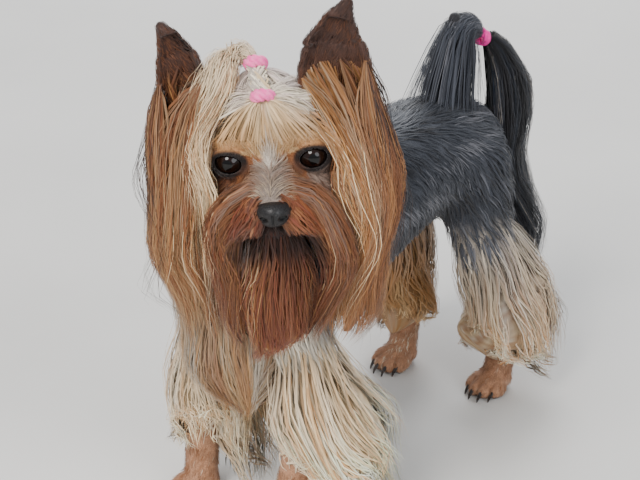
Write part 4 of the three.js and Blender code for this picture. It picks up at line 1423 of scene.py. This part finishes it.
class OBJECT_OT_terrier_face(bpy.types.Operator):
    """Builds the short fur of the muzzle, brows and cheeks"""
    bl_idname = "object.terrier_face"
    bl_label = "Face fur"

    def execute(self, context):
        skin, rng = dog_skin(), draws("face")

        def flow(p):
            q = to_head(p)
            aside = np.clip(q[:, 0] / 5, -1, 1)
            low = smooth(4, -6, q[:, 2])
            ahead = smooth(-2, -10, q[:, 1])
            way = cols(aside * (0.35 + 0.7 * low), 0.25, 1 - 1.9 * low)
            bridge = cols(aside * 0.9, 0.45, 0.35 - 0.9 * smooth(5, 12, np.abs(q[:, 0])))
            way = way * (1 - ahead[:, None]) + bridge * ahead[:, None]
            eye = q - EYE_AT * cols(np.sign(q[:, 0]), 1, 1)
            way = unit(way) + unit(eye * (1, 0.3, 1)) * (2.4 * smooth(13, 8.5, eye_gap(q)))[:, None]
            lip = smooth(-19, -24, q[:, 2])[:, None]
            way = way * (1 - lip) + cols(aside * 0.8, 0.1, -1) * lip
            return way @ HEAD

        def open_face(p):
            q = to_head(p)
            nose = np.linalg.norm((q - NOSE_AT - (0, 1.5, 0)) / (1.0, 1.0, 0.75), axis=1)
            return (eye_gap(q) > 9.2) * (nose > 8.6) * (q[:, 1] < 24)

        roots = skin.roots(rng, share("face"), ("face", "muzzle", "crown", "jaw"), open_face)
        q = to_head(skin.spots[roots])
        away = eye_gap(q)
        size = (2.0 + 6.2 * smooth(9.5, 17, away)) * rng.uniform(0.7, 1.3, len(roots))
        size = size * (1 - 0.4 * smooth(-12, -24, q[:, 1]) * smooth(-22, -16, q[:, 2]))
        paths = grown(skin, rng, roots, flow, size, 4, 1.7, wander=0.2, swing=0.12)
        ground = skin.ground(roots)
        light = shaded(rng, skin.spots[roots], ("brown", "tan", "sand", "blond"), 0.2)
        light = blend(ground, light, 0.35 * smooth(8.5, 12, away))
        light = blend(light, shaded(rng, q, ("sand", "sand", "blond"), 0.2), smooth(4, 10, q[:, 2]) * 0.7)
        light = blend(light, ground * 1.2, smooth(-18, -23, q[:, 2]))
        locks = Locks(skin, 0.75)
        locks.add(paths, roots, rng.uniform(*DOWN_WIDTH, len(roots)), ground * 0.85, light * 1.08, flat=0.4)

        roots = skin.roots(rng, share("lips"), ("muzzle", "face"), lip_place)
        q = to_head(skin.spots[roots])
        aside, far = np.sign(q[:, 0]), rng.uniform(0, 1, len(roots))
        x = np.abs(q[:, 0]) + 3 + 12 * far * smooth(2, 10, np.abs(q[:, 0]))
        ends = cols(aside * x, -26.5 + 0.33 * x, -25.5 - 0.011 * x * x - 4 * rng.uniform(0, 1, len(roots)))
        paths = gathered(skin, rng, roots, on_head(ends), 0.8, 6, 3.0, layer=1.5)
        colour = shaded(rng, q, ("brown", "rust", "tan", "tan"), 0.3)
        colour = blend(colour, PALETTE["deep"], smooth(7, 3, np.abs(q[:, 0])) * 0.6)
        locks.add(paths, roots, breadths(rng, len(roots), 0.15) * 0.36, colour * 0.85, colour * 1.15, flat=0.4)
        declared(locks.build("coat_face", fur("Face fur"), 3), "face_hair", "skull", "muzzle", "jaw")
        return {"FINISHED"}


class OBJECT_OT_terrier_topknot(bpy.types.Operator):
    """Builds the forehead hair combed up into the bands, the braid between them and the falling tail"""
    bl_idname = "object.terrier_topknot"
    bl_label = "Topknot"

    def execute(self, context):
        skin, rng, width = dog_skin(), draws("topknot"), settings().lock_width * 1000
        locks = Locks(skin, 0.86)

        def scalp(p):
            q = to_head(p)
            vee = smooth(3, 14, q[:, 2]) * ((q[:, 2] > 8.5) | (np.abs(q[:, 0]) < 8))
            low = q[:, 2] < 31 - 4 * smooth(14, 22, np.abs(q[:, 0]))
            return vee * low * (q[:, 1] < 38) * (np.abs(q[:, 0]) < 29) * (eye_gap(q) > 10.2)

        roots = skin.roots(rng, share("forehead"), ("crown", "face", "ear_left", "ear_right"), scalp)
        q = to_head(skin.spots[roots])
        back = smooth(6, 20, q[:, 1])
        ends = BAND_LOW + cols(np.clip(q[:, 0] * 0.2, -3.4, 3.4), -1.6 + 3.4 * back, -1 + 1.5 * back)
        wide = np.abs(q[:, 0])
        bow = np.where(q[:, 1] < 8, 1.4 + 2.6 * smooth(2, 9, wide), 2.5 + 2.5 * smooth(6, 18, wide) + 1.2 * back)
        paths = gathered(skin, rng, roots, on_head(ends), 0.9, 7, bow[:, None, None], 0.7, 1.3)
        side = np.clip(smooth(11, 21, wide) * smooth(12, 22, q[:, 2]) + 0.9 * smooth(6, 13, q[:, 1]), 0, 1)
        colour = blend(shaded(rng, q, ("sand", "blond", "blond", "cream"), 0.25, scatter=0.1),
                       shaded(rng, q, ("pearl", "pearl", "cream", "cream"), 0.2), side)
        ground = skin.ground(roots)
        part = np.exp(-((q[:, 0] + 0.5) / 2.5) ** 2) * (q[:, 1] < 6) * 0.6
        colour = blend(colour, shaded(rng, q, ("tan", "sand"), 0.2), part)
        locks.add(paths, roots, breadths(rng, len(roots), 0.2) * width * 0.85,
                  blend(ground, colour, 0.15 + 0.65 * side), colour * 1.1, flat=0.22, fade=2.2)

        roots = skin.roots(rng, share("crown"), ("crown",),
                           lambda p: (to_head(p)[:, 1] > 9) * (to_head(p)[:, 1] < 34) * (to_head(p)[:, 2] > 17))
        q = to_head(skin.spots[roots])
        ends = BAND_HIGH + cols(np.clip(q[:, 0] * 0.15, -3, 3), -0.5, -3.5)
        paths = gathered(skin, rng, roots, on_head(ends), 1.0, 7, 3.0)
        colour = shaded(rng, q, ("pearl", "pearl", "cream"), 0.2)
        locks.add(paths, roots, breadths(rng, len(roots), 0.15) * width * 0.9, colour * 0.85, colour, flat=0.35)

        roots = skin.roots(rng, share("nape"), ("crown", "nape"),
                           lambda p: (to_head(p)[:, 1] > 20) * (to_head(p)[:, 2] > 10) * (to_head(p)[:, 2] < 34))
        q = to_head(skin.spots[roots])
        paths = grown(skin, rng, roots, lambda p: on_head(BAND_HIGH) - p, rng.uniform(7, 13, len(roots)),
                      4, 1.8, wander=0.2)
        colour = blend(shaded(rng, q, ("pearl", "silver", "cream"), 0.2), shaded(rng, q, ("brown", "tan"), 0.2),
                       smooth(28, 44, q[:, 1]) * smooth(26, 14, q[:, 2]))
        locks.add(paths, roots, rng.uniform(0.3, 0.6, len(roots)), colour * 0.8, colour, flat=0.3)

        n, k = 130, 9
        s = np.linspace(0, 1, k)
        strand = np.arange(n) % 3
        turn = s[None] * 7.5 + strand[:, None] * FULL_TURN / 3
        weave = cols(2.8 * np.sin(turn), 1.0 * np.cos(turn), 1.2 * np.sin(2 * turn))
        loose = rng.normal(size=(n, 1, 3)) * 0.9
        line = BAND_LOW + (BAND_HIGH - BAND_LOW) * (s * 1.1 - 0.05)[:, None]
        line = line + np.array([0, -1.0, 0.8]) * np.sin(np.pi * s)[:, None] * 2
        paths = on_head(line[None] + weave + loose)
        roots = skin.nearest(paths[:, 0], ("crown",))
        colour = tones(rng, n, ("cream", 2), ("silver", 2), ("blond", 1))
        locks.add(paths, roots, 0.6, colour * 0.8, colour, flat=0.7, taper=12)
        declared(locks.build("coat_topknot", fur("Topknot hair"), 4), "topknot_hair", "topknot")

        def paint(rng, u, v, start):
            colour = shaded(rng, cols(u * 8, v * 8, 0), ("gold", "blond", "blond", "cream"), 0.3)
            return colour * 0.92, colour * 1.12

        hang("topknot_fall", SEEDS["topknot"] + 1, "topknot_hair", ("topknot_fall",), "Topknot hair",
             head_table(TOPKNOT_FALL), np.array((1, 0, 0.4)) @ HEAD, ("crown",), paint, "topknot_fall", 11,
             fill=0, broad=0.2, skip=1, start=(0, 0.02), stop=(0.5, 1.0), clump=0.5, wave=9.0, bend=0.06,
             core=0.05, reach=1.25, decay=40, curl=3.0)
        return {"FINISHED"}


class OBJECT_OT_terrier_falls(bpy.types.Operator):
    """Builds the long hair that hangs on either side of the face"""
    bl_idname = "object.terrier_falls"
    bl_label = "Side falls"

    def execute(self, context):
        skin, width = dog_skin(), settings().lock_width * 1000
        for seed, (node, rows) in enumerate(FALLS.items()):
            rng = draws("falls", seed)
            side, table = side_of(node), head_table(rows)
            ear = "ear_left" if side > 0 else "ear_right"
            names = ("crown", "nape", "face", "neck", ear)

            def cheek(p):
                q = to_head(p)
                ragged = q[:, 2] < 35 + 6 * drift(p, 0.3, 3)[:, 0]
                return (side * q[:, 0] > 15) * ragged * (eye_gap(q) > 15) * (q[:, 1] > 5)

            def paint(rng, u, v, start):
                key = cols(u * 15, v * 18, start * 7)
                # the inner side of each fall is paler and takes more pale bands: partly blond hair, partly painted
                # highlight on the inner side
                inner = np.clip(smooth(0.5, -0.6, u * side) * 0.9 + 0.08, 0, 1)
                inside = ("tan", "gold", "gold", "blond") if side > 0 else ("brown", "tan", "sand", "blond")
                outside = ("brown", "tan", "gold", "gold") if side > 0 else ("brown", "tan", "sand", "sand")
                colour = blend(shaded(rng, key, outside, 0.3, 6 + seed, 0.1),
                               shaded(rng, key, inside, 0.3, 8 + seed, 0.1), inner)
                streak = smooth(0.25, 0.75, drift(key, 0.55, 12 + seed)[:, 0] + rng.normal(size=len(u)) * 0.12)
                pale = blend(PALETTE["blond"], PALETTE["cream"], inner)
                colour = blend(colour, pale, streak * (0.15 + 0.4 * inner))
                outer = smooth(0.7, 0.95, u * side) * (rng.random(len(u)) < 0.4)
                colour = blend(colour, tones(rng, len(u), ("ear", 2), ("brown", 1)), outer)
                return colour * 0.92, blend(colour * 1.1, PALETTE["tan"], 0.35 if side > 0 else 0)

            def cape_place(p):
                q = to_head(p)
                return (side * q[:, 0] > 17) * (q[:, 2] > 8) * smooth(46, 22, q[:, 2])

            locks = Locks(skin, 0.8)
            roots = skin.roots(rng, share("cape"), ("crown", "nape", ear), cape_place)
            cape = heading(np.array((0.35 * side, -0.25, -1)) @ HEAD)
            paths = grown(skin, rng, roots, cape, rng.uniform(16, 38, len(roots)), 6, 9, wander=0.4, swing=0.12)
            colour = shaded(rng, skin.spots[roots], ("brown", "tan", "gold", "gold"), 0.2)
            ground = skin.ground(roots)
            locks.add(paths, roots, breadths(rng, len(roots), 0.1) * width, ground, colour * 1.1, flat=0.35)

            n = 120
            paths, roots, facing, u = mass(skin, rng, n, 12, table, HEAD_ACROSS, names, (0.0, 0.3), (0.5, 1.0),
                                           cheek, clump=0.1, wave=10.0, bend=0.05, core=0.9, reach=1.17)[:4]
            colour = blend(tones(rng, n, ("gold", 2), ("tan", 2), ("blond", 1)),
                           tones(rng, n, ("ear", 2), ("black", 1)), smooth(0.2, 0.6, u * side))
            locks.add(paths, roots, rng.uniform(0.4, 0.65, n) * width, colour * 0.9, colour, facing=facing)
            hang(node, SEEDS["falls"] + 2 + seed, "gold_coat", (node,), "Gold hair", table, HEAD_ACROSS,
                 names, paint, "falls", 8, locks, fill=0.6, broad=0.4, shadow=0.6, taper=1.3, start=(0.0, 0.85),
                 stop=(0.55, 1.0), where=cheek, clump=0.4, wave=5.0, bend=0.045, core=0.5, rise=1.8, decay=3.5,
                 curl=1.3)
        return {"FINISHED"}


class OBJECT_OT_terrier_beard(bpy.types.Operator):
    """Builds the moustache on both sides and the beard"""
    bl_idname = "object.terrier_beard"
    bl_label = "Moustache and beard"

    def execute(self, context):
        for seed, (node, rows) in enumerate(MOUSTACHES.items()):
            side = side_of(node)

            def paint(rng, u, v, start):
                key = cols(u * 10, v * 10, start * 6)
                top = shaded(rng, key, ("brown", "brown", "tan", "grey"), 0.22, seed)
                colour = shaded(rng, key, ("brown", "rust", "tan", "brown"), 0.22, seed)
                colour = blend(colour, tones(rng, len(u), ("blond", 1), ("gold", 3)), rng.random(len(u)) < 0.1)
                return blend(top, colour, smooth(0.1, 0.4, start)) * 0.72, colour * 0.98

            def lip(p):
                q = to_head(p)
                return (side * q[:, 0] > 5) * (q[:, 1] < 8) * (eye_gap(q) > 13)

            hang(node, SEEDS["moustaches"] + seed, "face_hair", (node,), "Face hair", head_table(rows),
                 HEAD_ACROSS, ("muzzle", "face"), paint, "moustaches", 7, fill=0.5, start=(0, 0.5),
                 stop=(0.62, 1.0), where=lip, clump=0.3, wave=6.0, core=0.3, decay=3.0, spread=2.5, curl=1.3)

        def paint(rng, u, v, start):
            key = cols(u * 14, v * 12, start * 8)
            top = shaded(rng, key, ("deep", "deep", "deep", "rust"), 0.2)
            end = shaded(rng, key, ("rust", "tan", "rust", "gold", "blond"), 0.2)
            # locks starting at the top of the beard are dark: partly stained hair at the mouth, partly painted
            # shade under the moustache
            return blend(top * 0.6, end, smooth(0.02, 0.16, start)), end * 1.4

        hang("beard", SEEDS["beard"], "beard_hair", ("beard",), "Beard hair", head_table(BEARD),
             HEAD_ACROSS, ("jaw", "muzzle"), paint, "beard", 7, fill=0.55, start=(0, 0.6), stop=(0.35, 1.0),
             where=lambda p: to_head(p)[:, 2] < -19, clump=0.45, wave=9.0, bend=0.06, core=0.3,
             spread=3.0, curl=1.8)
        return {"FINISHED"}


class OBJECT_OT_terrier_ears(bpy.types.Operator):
    """Builds the dark fur of both ears"""
    bl_idname = "object.terrier_ears"
    bl_label = "Ear fur"

    def execute(self, context):
        skin = dog_skin()
        for seed, (name, stations) in enumerate((("ear_left", EAR_LEFT), ("ear_right", EAR_RIGHT))):
            rng, side = draws("ears", seed), side_of(name)
            shades = ("deep", "ear", "brown") if side > 0 else ("ear", "brown", "brown")
            top = np.array(stations[-1][:3], float) - stations[0][:3]
            flow = heading((unit(top) + (0.3 * side, -0.1, 0)) @ HEAD)
            roots = skin.roots(rng, share("ears"), (name,), lambda p: (to_head(p)[:, 2] > 16) * 1.0)
            q = to_head(skin.spots[roots])
            paths = grown(skin, rng, roots, flow, rng.uniform(3.0, 5.5, len(roots)), 4, 0.9, wander=0.2, swing=0.1)
            colour = blend(shaded(rng, q, shades, 0.12), shaded(rng, q, ("brown", "tan", "gold"), 0.2),
                           smooth(38, 22, q[:, 2]) * 0.8) * (1 if side > 0 else 1.3)
            locks = Locks(skin, 0.8)
            locks.add(paths, roots, rng.uniform(0.22, 0.36, len(roots)), colour * 0.85, colour * 1.1, flat=0.4)
            declared(locks.build("coat_" + name, fur("Ear fur"), 11 + seed), "ear_hair", name)
        return {"FINISHED"}


class OBJECT_OT_terrier_legs(bpy.types.Operator):
    """Builds the furnishings of all four legs, shoulders and thighs"""
    bl_idname = "object.terrier_legs"
    bl_label = "Leg coat"

    def execute(self, context):
        skin = dog_skin()
        for seed, (leg, rows) in enumerate(LOWER_LEGS.items()):
            rng = draws("legs", seed)
            end, side = leg.split("_")
            fore = end == "fore"
            high, middle, low = LEG_SHADES[leg]
            locks = Locks(skin)
            roots = skin.roots(rng, share("upper_legs"), (leg,), lambda p: (p[:, 2] > 92) * 1.0)
            at = skin.spots[roots]
            flow = heading((0, 0.3, -1) if fore else (0, 0.5, -1))
            length = rng.uniform(18, 30, len(roots)) if fore else rng.uniform(14, 24, len(roots))
            paths = grown(skin, rng, roots, flow, length, 5, 4.5, wander=0.3)
            colour = blend(shaded(rng, at, high), shaded(rng, at, middle), smooth(128, 104, at[:, 2]))
            colour = blend(colour, shaded(rng, at, ("silver", "cream")), bib(at))
            locks.add(paths, roots, breadths(rng, len(roots), 0.4) * 0.42, colour * 0.8, colour * 1.1, flat=0.3)

            def paint(rng, u, v, start):
                key = cols(u * 22, v * 26, start * 10)
                first = blend(shaded(rng, key, middle, 0.25), shaded(rng, key, low, 0.25, 5, 0.1),
                              smooth(0.1, 0.6, start))
                # the tips are lightened by each leg's gain: partly paler tips, partly painted light
                return first * 0.95, shaded(rng, key, low, 0.25, 5, 0.1) * TIP_GAINS_WITH_PAINTED_LIGHT[leg]

            nodes = ("fore_upper_" if fore else "thigh_") + side, end + "_lower_" + side
            hang(leg, SEEDS["lower_legs"] + seed, "cream_coat", nodes, "Pale hair", rows, X_AXIS, (leg,), paint,
                 "lower_legs", 8, locks, fill=0.76, broad=0.7, shadow=0.62, taper=1.2, sweep=LEG_SWEEPS[leg],
                 start=(0, 0.8), stop=(0.6, 1.0), where=lambda p: (p[:, 2] < 112) * (p[:, 2] > 26), clump=0.5,
                 wave=10.0, bend=0.055, core=0.62, curl=1.8)
        return {"FINISHED"}


class OBJECT_OT_terrier_tail(bpy.types.Operator):
    """Builds the tail's dark hair gathered into its band and falling from it"""
    bl_idname = "object.terrier_tail"
    bl_label = "Tail coat"

    def execute(self, context):
        def dark(rng, u, v, start):
            colour = shaded(rng, cols(u * 10, v * 14, start * 20), ("black", "steel", "steel", "ash"), 0.2)
            return colour * 0.85, colour * 1.15

        def streaked(rng, u, v, start):
            colour = shaded(rng, cols(u * 10, v * 12, 0), ("black", "black", "steel", "steel", "silver"), 0.3)
            return colour * 1.05, colour * 1.45

        hang("tail_dock", SEEDS["tail"], "tail_coat", ("tail_dock", "tail_gather"), "Dark hair", TAIL_DOCK,
             X_AXIS, ("tail", "trunk"), dark, "tail_dock", 7, start=(0, 0.75), stop=(0.6, 1.0),
             where=lambda p: (p[:, 2] > 160) * (p[:, 1] > 150), clump=0.25, wave=2.0, core=0.5, spread=1.5)
        hang("tail_fall", SEEDS["tail"] + 1, "tail_coat", ("tail_fall",), "Dark hair", TAIL_FALL, X_AXIS,
             ("tail",), streaked, "tail_fall", 9, skip=1, fill=0.5, start=(0, 0.02), stop=(0.75, 1.0), clump=0.5,
             wave=9.0, bend=0.05, core=0.2, reach=1.1, decay=40)
        return {"FINISHED"}


class OBJECT_OT_terrier_feet(bpy.types.Operator):
    """Builds the short fur of the four feet"""
    bl_idname = "object.terrier_feet"
    bl_label = "Foot fur"

    def execute(self, context):
        skin = dog_skin()
        for seed, foot in enumerate(FEET):
            rng = draws("feet", seed)
            roots = skin.roots(rng, share("feet"), ("paw_" + foot, foot),
                               lambda p: (p[:, 2] > 2.5) * (p[:, 2] < 30))
            paths = grown(skin, rng, roots, heading((0, -0.6, -1)), rng.uniform(3, 6, len(roots)), 4, 1.0,
                          swing=0.2)
            colour = shaded(rng, skin.spots[roots], ("tan", "paw", "paw", "cream"), 0.2)
            locks = Locks(skin, 0.75)
            locks.add(paths, roots, rng.uniform(*DOWN_WIDTH, len(roots)), colour * 0.85, colour * 1.1, flat=0.4)
            declared(locks.build("coat_paw_" + foot, fur("Foot fur"), 19 + seed), "foot_hair", "paw_" + foot)
        return {"FINISHED"}


class OBJECT_OT_terrier_stage(bpy.types.Operator):
    """Builds the pale floor, the soft lights and the camera"""
    bl_idname = "object.terrier_stage"
    bl_label = "Stage"

    def execute(self, context):
        rings, spokes, far = 24, 96, 6000
        r, a = np.meshgrid(np.linspace(0.0, 1, rings) ** 1.6 * far + 5,
                           np.linspace(0, FULL_TURN, spokes, endpoint=False), indexing="ij")
        spots = cols(r * np.cos(a), r * np.sin(a), -0.05).reshape(-1, 3) + MIDDLE * (1, 1, 0)
        faces = tube_faces(rings, spokes, flip=True)[:2]
        floor = make_object("floor", spots, faces, plain_material(
            "Pale floor", tint("d2d0cc"), tint("dcdad6"), 3.0, 0.8, Specular_IOR_Level=0.2))
        world = bpy.data.worlds.new("Soft room")
        world.use_nodes = True
        background = world.node_tree.nodes["Background"]
        background.inputs["Color"].default_value = (0.80, 0.83, 0.88, 1)
        background.inputs["Strength"].default_value = 0.75
        context.scene.world = world
        for name, at, size, watts, colour in LIGHTS:
            light = bpy.data.lights.new(name, "AREA")
            light.shape, light.size, light.energy, light.color = "DISK", size / 1000, watts, colour
            thing = bpy.data.objects.new(name, light)
            thing.location = placed(at)
            thing.rotation_euler = Vector(placed(LIGHTS_AIM) - placed(at)).to_track_quat("-Z", "Y").to_euler()
            context.scene.collection.objects.link(thing)
        camera = bpy.data.cameras.new("Photo view")
        camera.lens, camera.sensor_width, camera.clip_start = CAMERA_LENS, 36, 0.05
        thing = bpy.data.objects.new("Photo view", camera)
        thing.location = placed(CAMERA_AT)
        thing.rotation_euler = Vector(CAMERA_WAY).to_track_quat("-Z", "Y").to_euler()
        context.scene.collection.objects.link(thing)
        context.scene.camera = thing
        return {"FINISHED"}


PIECES = (OBJECT_OT_terrier_skin, OBJECT_OT_terrier_eyes, OBJECT_OT_terrier_nose, OBJECT_OT_terrier_claws,
          OBJECT_OT_terrier_bands, OBJECT_OT_terrier_trunk, OBJECT_OT_terrier_neck, OBJECT_OT_terrier_face,
          OBJECT_OT_terrier_topknot, OBJECT_OT_terrier_falls, OBJECT_OT_terrier_beard, OBJECT_OT_terrier_ears,
          OBJECT_OT_terrier_legs, OBJECT_OT_terrier_tail, OBJECT_OT_terrier_feet, OBJECT_OT_terrier_stage)


class VIEW3D_PT_terrier(bpy.types.Panel):
    """Lists the sizes and the pieces"""
    bl_label = "Still terrier"
    bl_idname = "VIEW3D_PT_terrier"
    bl_space_type = "VIEW_3D"
    bl_region_type = "UI"
    bl_category = "Terrier"

    def draw(self, context):
        for name in TerrierLook.__annotations__:
            self.layout.prop(context.scene.still_terrier, name)
        for piece in PIECES:
            self.layout.operator(piece.bl_idname)


def register():
    for item in (TerrierLook, *PIECES, VIEW3D_PT_terrier):
        bpy.utils.register_class(item)
    bpy.types.Scene.still_terrier = PointerProperty(type=TerrierLook)


def unregister():
    del bpy.types.Scene.still_terrier
    for item in (VIEW3D_PT_terrier, *PIECES[::-1], TerrierLook):
        bpy.utils.unregister_class(item)


def main():
    register()
    for piece in PIECES:
        getattr(bpy.ops.object, piece.bl_idname.split(".")[1])()


if __name__ == "__main__":
    main()
